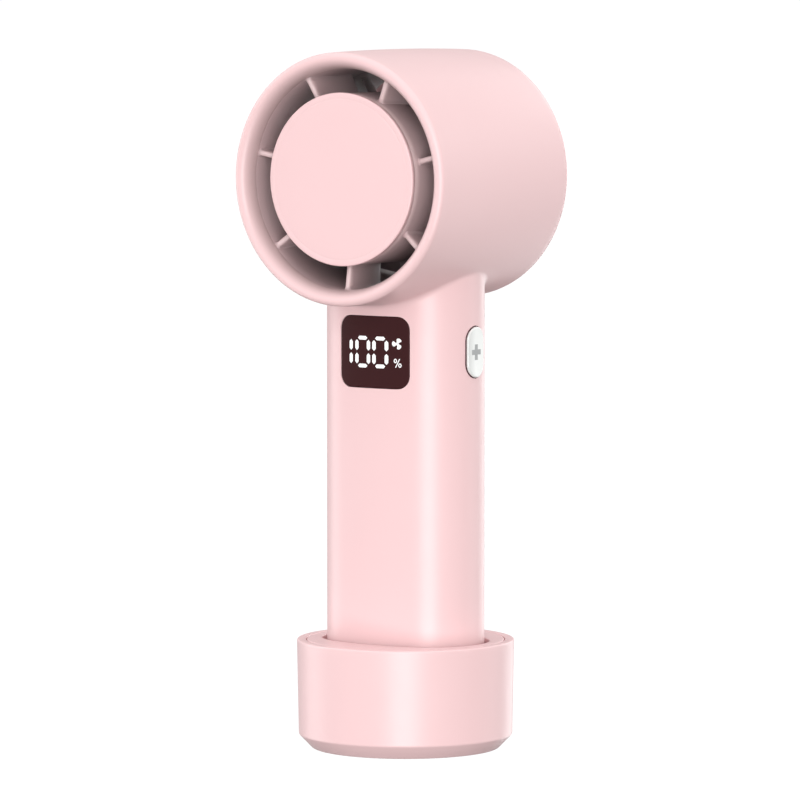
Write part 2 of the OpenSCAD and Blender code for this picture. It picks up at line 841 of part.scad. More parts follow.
module dock_cup() {
    edge = 0.35;
    color(PINK) difference() {
        rotate_extrude() polygon(concat(
            [[0, 0], [dock_foot_r, 0], [dock_low_r, dock_foot_h], [dock_r, dock_h - edge],
             [dock_r - edge, dock_h], [dock_bore_r, dock_h], [dock_bore_r, dock_floor], [0, dock_floor]]
        ));
        translate([0, 0, -1]) cylinder(r = pad_r + SLIP, h = pad_t + 1);
        for (i = [0 : 2])
            rotate([0, 0, i * 120 + 90]) translate([dock_screw_ring, 0, 0]) {
                cylinder(r = 1, h = 10);
                cylinder(r = 2, h = pad_t + 0.7);
            }
    }
}

module dock_insert() {
    top_t = 1.8;
    seat = handle_bottom;
    color(PINK) difference() {
        union() {
            translate([0, 0, dock_h - top_t]) cylinder(r = dock_gap_r - 0.1, h = top_t);
            oval_prism(socket_gap + socket_wall, seat - insert_floor, dock_h - top_t + EPS);
            translate([0, 0, seat - insert_floor]) cylinder(r = dock_gap_r - 0.1, h = insert_floor);
        }
        oval_prism(socket_gap, seat, dock_h + 1);
        for (i = [0 : 2])
            rotate([0, 0, i * 120 + 90]) translate([dock_screw_ring, 0, 0]) cylinder(r = 0.95, h = seat + 2);
    }
}

// Four soft strips inside the socket that steady the handle
module socket_pads() {
    low = handle_bottom + 3;
    high = handle_bottom + 16;
    color(RUBBER) difference() {
        intersection() {
            oval_prism(socket_gap - 0.02, low, high);
            union() {
                translate([-30, -4, low]) cube([60, 8, high - low]);
                translate([-5, -30, low]) cube([10, 60, high - low]);
            }
        }
        oval_prism(0.3, low - 1, high + 1);
    }
}

module dock_weight() {
    color(STEEL) difference() {
        translate([0, 0, dock_floor]) cylinder(r = weight_r, h = handle_bottom - insert_floor - dock_floor);
        for (i = [0 : 2])
            rotate([0, 0, i * 120 + 90]) translate([dock_screw_ring, 0, 0]) cylinder(r = 1.3, h = 10);
    }
}

module dock_screws() {
    head_low = pad_t + 0.05;
    color(STEEL) for (i = [0 : 2])
        rotate([0, 0, i * 120 + 90]) translate([dock_screw_ring, 0, 0]) difference() {
            union() {
                translate([0, 0, head_low]) cylinder(r = 1.8, h = 0.6);
                translate([0, 0, head_low]) cylinder(r = 0.9, h = handle_bottom - head_low - 0.3);
            }
            translate([-0.2, -1.2, 0]) cube([0.4, 2.4, head_low + 0.35]);
        }
}

module foot_pad() {
    color(RUBBER) cylinder(r = pad_r, h = pad_t - EPS);
}

outer_shell();
rear_grille();
stator_vanes();
hub_cap();
impeller_shroud();
impeller();
impeller_nose();
rotor_bell();
magnet_ring();
motor_shaft();
motor_bearings();
shaft_clip();
motor_bracket();
motor_screws();
stator_core();
motor_coils();
motor_board();
motor_cable();
display_lens();
display_segments();
display_frame();
display_board();
plus_button();
plus_mark();
minus_button();
minus_mark();
control_board();
button_switches();
board_screws();
charge_board();
usb_socket();
battery_cell_left();
battery_cell_right();
battery_cradle();
cell_strips();
battery_leads();
bottom_cap();
cap_screws();
dock_cup();
dock_insert();
socket_pads();
dock_weight();
dock_screws();
foot_pad();
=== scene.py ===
"""Finishes, finer visible pieces, camera and studio for the handheld fan in its stand.

Lengths are in millimetres until a mesh is placed, and "ahead" means towards the outlet (-Y).
"""

import json
import logging
import math
from collections.abc import Callable, Iterator, Sequence
from contextlib import contextmanager
from dataclasses import dataclass, field
from enum import Enum

import bmesh
import bpy
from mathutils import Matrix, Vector

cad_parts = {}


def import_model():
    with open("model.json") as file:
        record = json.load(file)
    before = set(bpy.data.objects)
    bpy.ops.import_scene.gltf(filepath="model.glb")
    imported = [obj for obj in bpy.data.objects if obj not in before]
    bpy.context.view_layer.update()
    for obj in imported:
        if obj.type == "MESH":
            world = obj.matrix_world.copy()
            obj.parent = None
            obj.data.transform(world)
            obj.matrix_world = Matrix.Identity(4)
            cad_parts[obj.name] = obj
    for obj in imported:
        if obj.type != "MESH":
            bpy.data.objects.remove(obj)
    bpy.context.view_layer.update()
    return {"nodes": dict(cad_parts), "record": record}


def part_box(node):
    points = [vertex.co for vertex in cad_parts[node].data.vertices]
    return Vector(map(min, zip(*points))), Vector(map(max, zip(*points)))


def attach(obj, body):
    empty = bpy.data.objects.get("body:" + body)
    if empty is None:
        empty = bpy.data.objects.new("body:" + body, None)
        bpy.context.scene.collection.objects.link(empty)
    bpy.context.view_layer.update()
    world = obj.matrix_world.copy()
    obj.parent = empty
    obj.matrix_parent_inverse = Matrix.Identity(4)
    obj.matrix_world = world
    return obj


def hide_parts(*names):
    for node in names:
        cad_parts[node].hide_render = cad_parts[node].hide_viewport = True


Point = tuple[float, float, float]
Flat = tuple[float, float]
Rgb = tuple[float, float, float]

MM = 0.001
WELD = 0.002 * MM
NEARLY = 1e-4  # what a full corner radius stays short of, so that its two ends don't meet
LOG = logging.getLogger("fan")

HEAD_Z = 151.8  # height of the head's axis
DUCT_RADIUS = 28.8
THROAT = 27.4  # distance ahead where the lip's flare meets the duct
FACE_Z = 106.0  # height of the middle of the display and of both keys
PORT_Z = 86.0


# ---------------------------------------------------------------- geometry helpers


def arc(centre: Flat, radius: float, start: float, end: float, steps: int) -> list[Flat]:
    """Points along a circular arc.

    Args:
        centre: Middle of the circle.
        radius: Its radius.
        start: First angle in degrees.
        end: Last angle in degrees.
        steps: Number of straight steps between the two.

    Returns:
        The points, both ends included.
    """
    angles = [math.radians(start + (end - start) * i / steps) for i in range(steps + 1)]
    return [(centre[0] + radius * math.cos(a), centre[1] + radius * math.sin(a)) for a in angles]


def spaced(start: float, end: float, steps: int) -> list[float]:
    """Evenly spaced values from start to end, both included."""
    return [start + (end - start) * i / steps for i in range(steps + 1)]


def quarter_round(radius: float, steps: int) -> list[Flat]:
    """Inset and drop of each step round an edge, from its side to its top."""
    turns = [math.pi / 2 * step / steps for step in range(1, steps + 1)]
    return [(radius * (1 - math.cos(turn)), radius * (1 - math.sin(turn))) for turn in turns]


def rounded_outline(
    width: float, height: float, radius: float, edges: tuple[int, int, int]
) -> list[Flat]:
    """Outline of a rounded rectangle about the origin, anticlockwise from the foot of its right side.

    Args:
        width: Full width.
        height: Full height.
        radius: Corner radius.
        edges: Edges on a side, on a corner and on the top.

    Returns:
        The outline's points, without repeating the first.
    """
    side, corner, top = edges
    x = width / 2 - radius
    y = height / 2 - radius
    half: list[Flat] = [(x + radius, -y + 2 * y * i / side) for i in range(side)]
    half += arc((x, y), radius, 0, 90, corner)[:-1]
    half += [(x - 2 * x * i / top, y + radius) for i in range(top)]
    half += arc((-x, y), radius, 90, 180, corner)[:-1]
    return half + [(-p[0], -p[1]) for p in half]


@dataclass(frozen=True)
class Oval:
    """The handle's section: two round sides joined by two flatter faces.

    Attributes:
        half_width: Half the size along X.
        half_depth: Half the size along Y.
        side_radius: Radius of the round sides.
    """

    half_width: float
    half_depth: float
    side_radius: float

    @property
    def side_x(self) -> float:
        """Distance of the side arcs' centres from the middle."""
        return self.half_width - self.side_radius

    @property
    def face_radius(self) -> float:
        """Radius of the front and back arcs."""
        gap = self.half_depth - self.side_radius
        return (self.side_x**2 + self.half_depth**2 - self.side_radius**2) / (2 * gap)

    @property
    def face_y(self) -> float:
        """Distance of the face arcs' centres behind the middle."""
        return self.face_radius - self.half_depth

    @property
    def join(self) -> float:
        """Angle in radians at which a side arc meets a face arc."""
        return math.atan2(self.face_y, self.side_x)

    def grown(self, by: float) -> "Oval":
        """The same oval, offset evenly outwards."""
        return Oval(self.half_width + by, self.half_depth + by, self.side_radius + by)

    def at(self, share: float) -> tuple[Flat, Flat]:
        """Point and outward normal at a share of the way round, anticlockwise from +X.

        Args:
            share: 0 to 1 by arc length.

        Returns:
            The point and the normal.
        """
        quarter = self.side_radius * self.join + self.face_radius * (math.pi / 2 - self.join)
        turns = (share % 1.0) * 4
        quadrant = int(turns)
        run = (turns - quadrant) * quarter
        if quadrant % 2:
            run = quarter - run
        if run <= self.side_radius * self.join:
            angle = run / self.side_radius
            spot = (self.side_x + self.side_radius * math.cos(angle), self.side_radius * math.sin(angle))
        else:
            angle = self.join + (run - self.side_radius * self.join) / self.face_radius
            spot = (self.face_radius * math.cos(angle), self.face_radius * math.sin(angle) - self.face_y)
        flip_x = -1 if quadrant in (1, 2) else 1
        flip_y = -1 if quadrant in (2, 3) else 1
        return (
            (flip_x * spot[0], flip_y * spot[1]),
            (flip_x * math.cos(angle), flip_y * math.sin(angle)),
        )

    def ring(self, count: int, z: float) -> list[Point]:
        """Evenly spaced points round the oval at one height."""
        return [(*self.at(i / count)[0], z) for i in range(count)]

    def snap(self, place: Vector) -> Vector:
        """Puts a place on the oval wall.

        Args:
            place: A place in millimetres.

        Returns:
            The nearest place on the wall at the same height.
        """
        x = abs(place.x)
        y = abs(place.y)
        if math.atan2(y + self.face_y, x) >= self.join:
            away = Vector((x, y + self.face_y)).normalized()
            spot = away * self.face_radius - Vector((0, self.face_y))
        else:
            away = Vector((x - self.side_x, y)).normalized()
            spot = away * self.side_radius + Vector((self.side_x, 0))
        return Vector((math.copysign(spot.x, place.x), math.copysign(spot.y, place.y), place.z))

    def depth_at(self, x: float) -> float:
        """Half the oval's depth.

        Args:
            x: Distance from the middle.

        Returns:
            The distance of the wall ahead of the middle.
        """
        x = abs(x)
        if x <= self.face_radius * math.cos(self.join):
            return math.sqrt(self.face_radius**2 - x**2) - self.face_y
        return math.sqrt(self.side_radius**2 - (x - self.side_x) ** 2)

    def width_at(self, y: float) -> float:
        """Half the oval's width on its round side."""
        return self.side_x + math.sqrt(self.side_radius**2 - y**2)


@dataclass(frozen=True)
class Drum:
    """The head's slightly barrel-shaped outside.

    Attributes:
        axis_z: Height of its axis.
        front: Distance from the handle's axis forward to the lip.
        rear: Distance back to the inlet face.
        widest: Radius at the middle of its length.
        bulge: How much less the radius is at the two ends.
    """

    axis_z: float
    front: float
    rear: float
    widest: float
    bulge: float

    def radius(self, ahead: float) -> float:
        """The drum's outside radius.

        Args:
            ahead: Distance ahead of the handle's axis.

        Returns:
            The radius there.
        """
        middle = (self.front - self.rear) / 2
        half = (self.front + self.rear) / 2
        return self.widest - self.bulge * ((ahead - middle) / half) ** 2

    def snap(self, place: Vector) -> Vector:
        """The nearest place on the drum's outside, in millimetres."""
        away = Vector((place.x, place.z - self.axis_z)).normalized() * self.radius(-place.y)
        return Vector((away.x, place.y, away.y + self.axis_z))


# ---------------------------------------------------------------- the bench


def clear_selection() -> None:
    """Leaves nothing selected and no object in edit mode."""
    if bpy.context.object is not None and bpy.context.object.mode != "OBJECT":
        bpy.ops.object.mode_set(mode="OBJECT")
    bpy.ops.object.select_all(action="DESELECT")


class Workpiece:
    """A mesh being modelled. Its object stays at the origin, and its sizes are in millimetres."""

    def __init__(self, name: str, thing: bpy.types.Object) -> None:
        """Names the object and its mesh.

        Args:
            name: The piece's name.
            thing: Its object.
        """
        self.object = thing
        thing.name = name
        thing.data.name = name

    @classmethod
    def wire(cls, name: str, points: Sequence[Point], closed: bool = True) -> "Workpiece":
        """A wire through the points.

        Args:
            name: The piece's name.
            points: Where its corners go.
            closed: Whether the last corner joins the first.

        Returns:
            The new piece.
        """
        clear_selection()
        bpy.ops.mesh.primitive_circle_add(vertices=len(points), radius=MM)
        piece = cls(name, bpy.context.object)
        for vertex, point in zip(piece.object.data.vertices, points):
            vertex.co = Vector(point) * MM
        if not closed:
            last = len(points) - 1
            with piece.editing() as mesh:
                for edge in mesh.edges:
                    if {v.index for v in edge.verts} == {0, last}:
                        edge.select_set(True)
                bpy.ops.mesh.delete(type="EDGE")
        return piece

    @classmethod
    def loft(
        cls, name: str, rows: Sequence[Sequence[Point]], around: bool = True, capped: bool = True
    ) -> "Workpiece":
        """A skin through rows of points, started as a grid.

        Args:
            name: The piece's name.
            rows: Rows of equally many points.
            around: Whether each row closes on itself.
            capped: Whether the first and last rows are closed with a face.

        Returns:
            The new piece, with its faces outwards when it is closed.
        """
        count = len(rows[0]) + (1 if around else 0)
        clear_selection()
        bpy.ops.mesh.primitive_grid_add(x_subdivisions=count - 1, y_subdivisions=len(rows) - 1, size=1)
        piece = cls(name, bpy.context.object)
        for vertex in piece.object.data.vertices:
            column = round((vertex.co.x + 0.5) * (count - 1)) % len(rows[0])
            row = round((vertex.co.y + 0.5) * (len(rows) - 1))
            vertex.co = Vector(rows[row][column]) * MM
        with piece.editing() as mesh:
            bpy.ops.mesh.select_all(action="SELECT")
            bpy.ops.mesh.remove_doubles(threshold=WELD)
            if capped:
                bpy.ops.mesh.fill_holes(sides=0)
            bpy.ops.mesh.select_all(action="SELECT")
            bpy.ops.mesh.normals_make_consistent(inside=False)
        return piece

    @contextmanager
    def editing(self) -> Iterator[bmesh.types.BMesh]:
        """Opens the piece in edit mode with nothing selected.

        Returns:
            Its mesh, for the length of a with block.
        """
        self.activate()
        bpy.ops.object.mode_set(mode="EDIT")
        bpy.ops.mesh.select_mode(type="VERT")
        bpy.ops.mesh.select_all(action="DESELECT")
        yield bmesh.from_edit_mesh(self.object.data)
        bpy.ops.object.mode_set(mode="OBJECT")

    def activate(self) -> None:
        """Selects only this piece and makes it active."""
        clear_selection()
        self.object.select_set(True)
        bpy.context.view_layer.objects.active = self.object

    def spin(self, centre: Point, axis: Point, steps: int = 96) -> "Workpiece":
        """Turns the wire once round an axis and welds the ends.

        Args:
            centre: A point on the axis.
            axis: The axis's direction.
            steps: Steps round the turn.

        Returns:
            The same piece.
        """
        with self.editing():
            bpy.ops.mesh.select_all(action="SELECT")
            bpy.ops.mesh.spin(steps=steps, angle=math.tau, center=Vector(centre) * MM, axis=axis)
            bpy.ops.mesh.select_all(action="SELECT")
            bpy.ops.mesh.remove_doubles(threshold=WELD)
            bpy.ops.mesh.normals_make_consistent(inside=False)
        return self

    def join(self, *others: "Workpiece") -> "Workpiece":
        """Makes the others part of this piece.

        Args:
            *others: The pieces to take in.

        Returns:
            The same piece.
        """
        self.activate()
        for other in others:
            other.object.select_set(True)
        bpy.ops.object.join()
        return self

    def repeated(self, count: int, centre: Point, axis: str) -> "Workpiece":
        """Copies the piece evenly round an axis, each copy with its own faces.

        Args:
            count: How many there are in the end.
            centre: A point on the axis.
            axis: The axis's letter.

        Returns:
            The same piece.
        """
        with self.editing():
            bpy.ops.mesh.select_all(action="SELECT")
            for _ in range(count - 1):
                bpy.ops.mesh.duplicate()
                bpy.ops.transform.rotate(
                    value=math.tau / count, orient_axis=axis, center_override=Vector(centre) * MM
                )
        return self

    def thicken(
        self, thickness: float, thinner: Callable[[Vector], float] | None = None, centred: bool = False
    ) -> "Workpiece":
        """Gives a skin its wall, inwards.

        Args:
            thickness: The wall's thickness.
            thinner: Share of the thickness at a place, where it isn't 1.
            centred: Whether the wall lies evenly on both sides of the skin instead.

        Returns:
            The same piece.
        """
        self.activate()
        modifier = self.object.modifiers.new("wall", "SOLIDIFY")
        modifier.thickness = thickness * MM
        modifier.offset = 0 if centred else -1
        modifier.use_even_offset = True
        modifier.use_rim = True
        if thinner is not None:
            group = self.object.vertex_groups.new(name="wall")
            for vertex in self.object.data.vertices:
                group.add([vertex.index], thinner(vertex.co / MM), "REPLACE")
            modifier.vertex_group = group.name
        bpy.ops.object.modifier_apply(modifier=modifier.name)
        self.object.vertex_groups.clear()
        return self

    def rounded(self, width: float, segments: int = 3, angle: float = 32) -> "Workpiece":
        """Rounds the sharp edges and shades the piece smooth.

        Args:
            width: How far the rounding reaches from the edge.
            segments: Steps across it.
            angle: Edges sharper than this many degrees are rounded.

        Returns:
            The same piece.
        """
        self.activate()
        modifier = self.object.modifiers.new("edges", "BEVEL")
        modifier.width = width * MM
        modifier.segments = segments
        modifier.limit_method = "ANGLE"
        modifier.angle_limit = math.radians(angle)
        modifier.use_clamp_overlap = True
        modifier.miter_outer = "MITER_ARC"
        bpy.ops.object.modifier_apply(modifier=modifier.name)
        return self.smooth()

    def smooth(self, angle: float = 30) -> "Workpiece":
        """Shades the piece smooth.

        Args:
            angle: Edges sharper than this many degrees stay crisp.

        Returns:
            The same piece.
        """
        self.activate()
        bpy.ops.object.shade_smooth_by_angle(angle=math.radians(angle))
        return self

    def window(
        self,
        inside: Callable[[Vector], bool],
        outline: Sequence[Point],
        snap: Callable[[Vector], Vector],
        cuts: int = 1,
    ) -> "Workpiece":
        """Cuts an opening of a given outline into a skin and keeps the skin's curve round it.

        Args:
            inside: Whether a face with this centre is taken out to make room.
            outline: The opening's edge, with as many points as the hole left by those faces.
            snap: Puts a place back on the skin's true surface.
            cuts: Rows of new points between the hole and the outline.

        Returns:
            The same piece.
        """
        with self.editing() as mesh:
            bpy.ops.mesh.select_mode(type="FACE")
            for face in mesh.faces:
                if inside(face.calc_center_median() / MM):
                    face.select_set(True)
            bpy.ops.mesh.delete(type="FACE")
        self.join(Workpiece.wire("outline", outline))
        with self.editing() as mesh:
            bpy.ops.mesh.select_mode(type="EDGE")
            near = [v.co / MM for v in mesh.verts if v.is_wire]
            low = [min(p[i] for p in near) - 6 for i in range(3)]
            high = [max(p[i] for p in near) + 6 for i in range(3)]
            for edge in mesh.edges:
                middle = (edge.verts[0].co + edge.verts[1].co) / 2 / MM
                close = all(low[i] < middle[i] < high[i] for i in range(3))
                if edge.is_wire or (edge.is_boundary and close):
                    edge.select_set(True)
            self.bridge(cuts, snap)
        return self

    def bridge(self, cuts: int, snap: Callable[[Vector], Vector]) -> None:
        """Bridges the two selected loops.

        Args:
            cuts: Rows of new points between them.
            snap: Puts a new point on the true surface.
        """
        before = {tuple(v.co) for v in bmesh.from_edit_mesh(self.object.data).verts}
        bpy.ops.mesh.bridge_edge_loops(number_cuts=cuts, interpolation="LINEAR")
        for vertex in bmesh.from_edit_mesh(self.object.data).verts:
            if tuple(vertex.co) not in before:
                vertex.co = snap(vertex.co / MM) * MM
        bpy.ops.mesh.select_all(action="SELECT")
        bpy.ops.mesh.normals_make_consistent(inside=False)

    def dressed(self, material: bpy.types.Material, body: str, slot: str, *nodes: str) -> "Workpiece":
        """Finishes the piece.

        Args:
            material: Its finish.
            body: The body it rides on.
            slot: Its material slot in the record; not used.
            *nodes: The nodes it stands for.

        Returns:
            The same piece.
        """
        self.object.data.materials.clear()
        self.object.data.materials.append(material)
        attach(self.object, body)
        if nodes:
            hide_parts(*nodes)
        faces = len(self.object.data.polygons)
        LOG.info("%s: %d faces on %s", self.object.name, faces, body)
        return self


def lathe(name: str, profile: Sequence[Flat], axis_z: float | None = None, steps: int = 96) -> Workpiece:
    """A turned solid from a (radius, along) outline, left open only where both ends are on the axis.

    Args:
        name: The piece's name.
        profile: The outline. Along is ahead for the head's axis, and height for the stand's.
        axis_z: Height of the head's axis, or None to turn about the upright axis.
        steps: Steps round the turn.

    Returns:
        The new piece.
    """
    closed = profile[0][0] > 0 or profile[-1][0] > 0
    if axis_z is None:
        wire = Workpiece.wire(name, [(r, 0, z) for r, z in profile], closed)
        return wire.spin((0, 0, 0), (0, 0, 1), steps)
    wire = Workpiece.wire(name, [(r, -ahead, axis_z) for r, ahead in profile], closed)
    return wire.spin((0, 0, axis_z), (0, 1, 0), steps)


# ---------------------------------------------------------------- finishes


class Channel:
    """One output of a shader node, with arithmetic that adds Math nodes."""

    def __init__(self, paint: "Paint", socket: bpy.types.NodeSocket) -> None:
        """Wraps a socket of the paint's node tree."""
        self.paint = paint
        self.socket = socket

    def _math(self, operation: str, first: "Channel | float", second: "Channel | float") -> "Channel":
        """Adds one Math node."""
        return self.paint.node("ShaderNodeMath", {"operation": operation}, {0: first, 1: second})

    def __add__(self, other: "Channel | float") -> "Channel":
        """Sum."""
        return self._math("ADD", self, other)

    def __sub__(self, other: "Channel | float") -> "Channel":
        """Difference."""
        return self._math("SUBTRACT", self, other)

    def __rsub__(self, other: float) -> "Channel":
        """A number less this."""
        return self._math("SUBTRACT", other, self)

    def __mul__(self, other: "Channel | float") -> "Channel":
        """Product."""
        return self._math("MULTIPLY", self, other)

    def __gt__(self, other: float) -> "Channel":
        """1 where this is greater, else 0."""
        return self._math("GREATER_THAN", self, other)

    __radd__ = __add__
    __rmul__ = __mul__


class Paint:
    """A node material being mixed, on object coordinates."""

    def __init__(self, name: str) -> None:
        """Starts a material with its Principled shader.

        Args:
            name: The material's name.
        """
        self.material = bpy.data.materials.new(name)
        self.material.use_nodes = True
        self.tree = self.material.node_tree
        self.shader = self.tree.nodes["Principled BSDF"]
        place = self.node("ShaderNodeTexCoord", output="Object")
        self.place = self.node("ShaderNodeVectorMath", {"operation": "SCALE"}, {0: place, 3: 1 / MM})

    def node(
        self,
        kind: str,
        settings: dict[str, object] | None = None,
        sockets: dict[int | str, object] | None = None,
        output: int | str = 0,
    ) -> Channel:
        """Adds a node.

        Args:
            kind: The node's type.
            settings: Its properties. "stops" gives a ramp's (position, colour) pairs.
            sockets: Values or links of its inputs, by number or name.
            output: Which output to give back.

        Returns:
            That output.
        """
        made = self.tree.nodes.new(kind)
        for key, value in (settings or {}).items():
            if key == "stops":
                ramp = made.color_ramp.elements
                while len(ramp) < len(value):
                    ramp.new(0.5)
                for element, (position, colour) in zip(ramp, value):
                    element.position = position
                    element.color = (*colour, 1)
            else:
                setattr(made, key, value)
        for key, value in (sockets or {}).items():
            if isinstance(value, Channel):
                self.tree.links.new(value.socket, made.inputs[key])
            else:
                made.inputs[key].default_value = value
        return Channel(self, made.outputs[output])

    def set(self, **values: object) -> "Paint":
        """Sets or links the shader's sockets.

        Args:
            **values: A value, colour or channel for each, named with underscores for spaces.

        Returns:
            The same paint.
        """
        for key, value in values.items():
            socket = self.shader.inputs[key.replace("_", " ")]
            if isinstance(value, Channel):
                self.tree.links.new(value.socket, socket)
            elif isinstance(value, tuple):
                socket.default_value = (*value, 1)
            else:
                socket.default_value = value
        return self

    def noise(self, size: float, detail: float = 2.0, where: Channel | None = None) -> Channel:
        """Smooth noise from about 0.3 to 0.7, with features of a size in millimetres."""
        return self.node(
            "ShaderNodeTexNoise",
            sockets={"Vector": where or self.place, "Scale": 1 / size, "Detail": detail},
        )

    def stretched(self, by: Point) -> Channel:
        """The place in millimetres, scaled along each axis."""
        return self.vector("MULTIPLY", self.place, by)

    def ramp(self, share: Channel, *stops: tuple[float, Rgb]) -> Channel:
        """A colour from a ramp of (position, colour) stops, by a share from 0 to 1."""
        return self.node("ShaderNodeValToRGB", {"stops": stops}, {0: share})

    def blend(self, share: Channel, low: Rgb, high: Rgb) -> Channel:
        """A colour between two, by a share from 0 to 1."""
        return self.ramp(share, (0.0, low), (1.0, high))

    def mixed(self, share: Channel, low: Channel | Rgb, high: Channel | Rgb) -> Channel:
        """Two colours mixed, where either may vary."""
        sides = [side if isinstance(side, Channel) else (*side, 1) for side in (low, high)]
        return self.node("ShaderNodeMix", {"data_type": "RGBA"}, {0: share, 6: sides[0], 7: sides[1]}, 2)

    def vector(
        self, operation: str, first: Channel, second: Point = (0, 0, 0), output: int | str = 0
    ) -> Channel:
        """Adds one Vector Math node."""
        return self.node("ShaderNodeVectorMath", {"operation": operation}, {0: first, 1: second}, output)

    def from_axis(self, axis_z: float) -> Channel:
        """Distance in millimetres from the head's axis."""
        flat = self.vector("MULTIPLY", self.vector("SUBTRACT", self.place, (0, 0, axis_z)), (1, 0, 1))
        return self.vector("LENGTH", flat, output="Value")

    def ahead(self) -> Channel:
        """Distance in millimetres ahead of the handle's axis."""
        return self.node("ShaderNodeSeparateXYZ", sockets={0: self.place}, output="Y") * -1.0

    def bump(self, height: Channel, strength: float, depth: float) -> Channel:
        """A normal from a height, where depth is the height's full scale in millimetres."""
        sockets = {"Strength": strength, "Distance": depth * MM, "Height": height}
        return self.node("ShaderNodeBump", sockets=sockets, output="Normal")


def tinted(colour: Rgb, by: float) -> Rgb:
    """The colour made lighter or darker by a share."""
    return tuple(min(1.0, c * (1 + by)) for c in colour)


@dataclass(frozen=True)
class Moulded:
    """A moulded plastic or rubber.

    Attributes:
        name: The material's name.
        colour: Its linear colour.
        roughness: Its mean roughness.
        mottle: How much its colour varies over a few centimetres.
        grain: Depth of its fine texture in millimetres.
        grain_size: Size of that texture.
        coat: Weight of a clear skin over it.
        specular: Strength of its reflections.
    """

    name: str
    colour: Rgb
    roughness: float
    mottle: float = 0.015
    grain: float = 0.0025
    grain_size: float = 0.22
    coat: float = 0.0
    specular: float = 0.5

    def build(self) -> bpy.types.Material:
        """Mixes the material.

        Returns:
            The material.
        """
        paint = Paint(self.name)
        cloud = paint.noise(24.0)
        fine = paint.noise(self.grain_size, 3.0)
        wear = paint.noise(6.0, 4.0)
        paint.set(
            Base_Color=self.tone(paint, cloud * 0.7 + fine * 0.3),
            Roughness=wear * 0.10 + (self.roughness - 0.05),
            Normal=paint.bump(fine, 0.6, self.grain),
            Coat_Weight=self.coat,
            Coat_Roughness=0.08,
            Specular_IOR_Level=self.specular,
        )
        return paint.material

    def tone(self, paint: Paint, share: Channel) -> Channel:
        """Its colour, lighter and darker by a share from 0 to 1."""
        return paint.blend(share, tinted(self.colour, -self.mottle), tinted(self.colour, self.mottle))


@dataclass(frozen=True)
class ShellPlasticWithLipShade(Moulded):
    """The casing's plastic, with shade painted inside the lip: it darkens to grey towards the duct.

    Attributes:
        mouth: Colour of the painted shade where the lip meets the duct.
        axis_z: Height of the head's axis.
        crest_radius: Distance from the axis at which the painted shade starts.
        duct_radius: Distance at which it is all painted shade.
        lip_ahead: Only places farther ahead than this get the painted shade.
    """

    mouth: Rgb = (0.5, 0.36, 0.36)
    axis_z: float = HEAD_Z
    crest_radius: float = 31.15
    duct_radius: float = DUCT_RADIUS
    lip_ahead: float = 26.5

    def tone(self, paint: Paint, share: Channel) -> Channel:
        """Its colour at a place.

        Args:
            paint: The material being mixed.
            share: How light it is there, from 0 to 1.

        Returns:
            The colour, with painted shade in the lip.
        """
        # Painted shade: the lip's flare darkens to grey towards the duct, standing in for the light
        # falling off inside the lip.
        scale = 1 / (self.crest_radius - self.duct_radius)
        inwards = (self.crest_radius - paint.from_axis(self.axis_z)) * scale
        lip_shade_share = inwards * (paint.ahead() > self.lip_ahead)
        return paint.mixed(lip_shade_share, super().tone(paint, share), self.mouth)


@dataclass(frozen=True)
class Metal:
    """A bare metal, drawn or rolled along one axis.

    Attributes:
        name: The material's name.
        colour: Its linear colour.
        roughness: Its mean roughness.
        lay: Scale along each axis of its fine lines.
        line: Width of those lines in millimetres.
    """

    name: str
    colour: Rgb
    roughness: float
    lay: Point = (1, 1, 1)
    line: float = 0.4

    def build(self) -> bpy.types.Material:
        """Mixes the material.

        Returns:
            The material.
        """
        paint = Paint(self.name)
        lines = paint.noise(self.line, 4.0, paint.stretched(self.lay))
        paint.set(
            Base_Color=paint.blend(lines, tinted(self.colour, -0.12), tinted(self.colour, 0.08)),
            Metallic=1.0,
            Roughness=lines * 0.25 + (self.roughness - 0.12),
            Normal=paint.bump(lines, 0.35, 0.01),
        )
        return paint.material


@dataclass(frozen=True)
class Striped:
    """Fine regular bands, as on wound wire or stacked sheets.

    Attributes:
        name: The material's name.
        low: Colour between the bands.
        high: Colour of the bands.
        pitch: Distance between bands in millimetres.
        axis: Axis that the bands are stacked along.
        metallic: How metallic they are.
        roughness: Their roughness.
    """

    name: str
    low: Rgb
    high: Rgb
    pitch: float
    axis: str
    metallic: float
    roughness: float

    def build(self) -> bpy.types.Material:
        """Mixes the material.

        Returns:
            The material.
        """
        paint = Paint(self.name)
        wave = paint.node(
            "ShaderNodeTexWave",
            {"wave_type": "BANDS", "bands_direction": self.axis, "wave_profile": "SIN"},
            {"Vector": paint.place, "Scale": math.pi / (10 * self.pitch), "Distortion": 0.0},
        )
        cloud = paint.noise(3.0)
        paint.set(
            Base_Color=paint.blend(wave * 0.8 + cloud * 0.2, self.low, self.high),
            Metallic=self.metallic,
            Roughness=cloud * 0.2 + (self.roughness - 0.1),
            Normal=paint.bump(wave, 0.7, self.pitch * 0.3),
        )
        return paint.material


@dataclass(frozen=True)
class Lit:
    """The lit bars of the display: a pale diffuser that glows."""

    name: str
    colour: Rgb
    glow: float

    def build(self) -> bpy.types.Material:
        """Mixes the material.

        Returns:
            The material.
        """
        paint = Paint(self.name)
        fine = paint.noise(0.35)
        paint.set(
            Base_Color=paint.blend(fine, tinted(self.colour, -0.62), tinted(self.colour, -0.58)),
            Emission_Color=paint.blend(fine, tinted(self.colour, -0.06), self.colour),
            Emission_Strength=self.glow,
            Roughness=fine * 0.2 + 0.3,
        )
        return paint.material


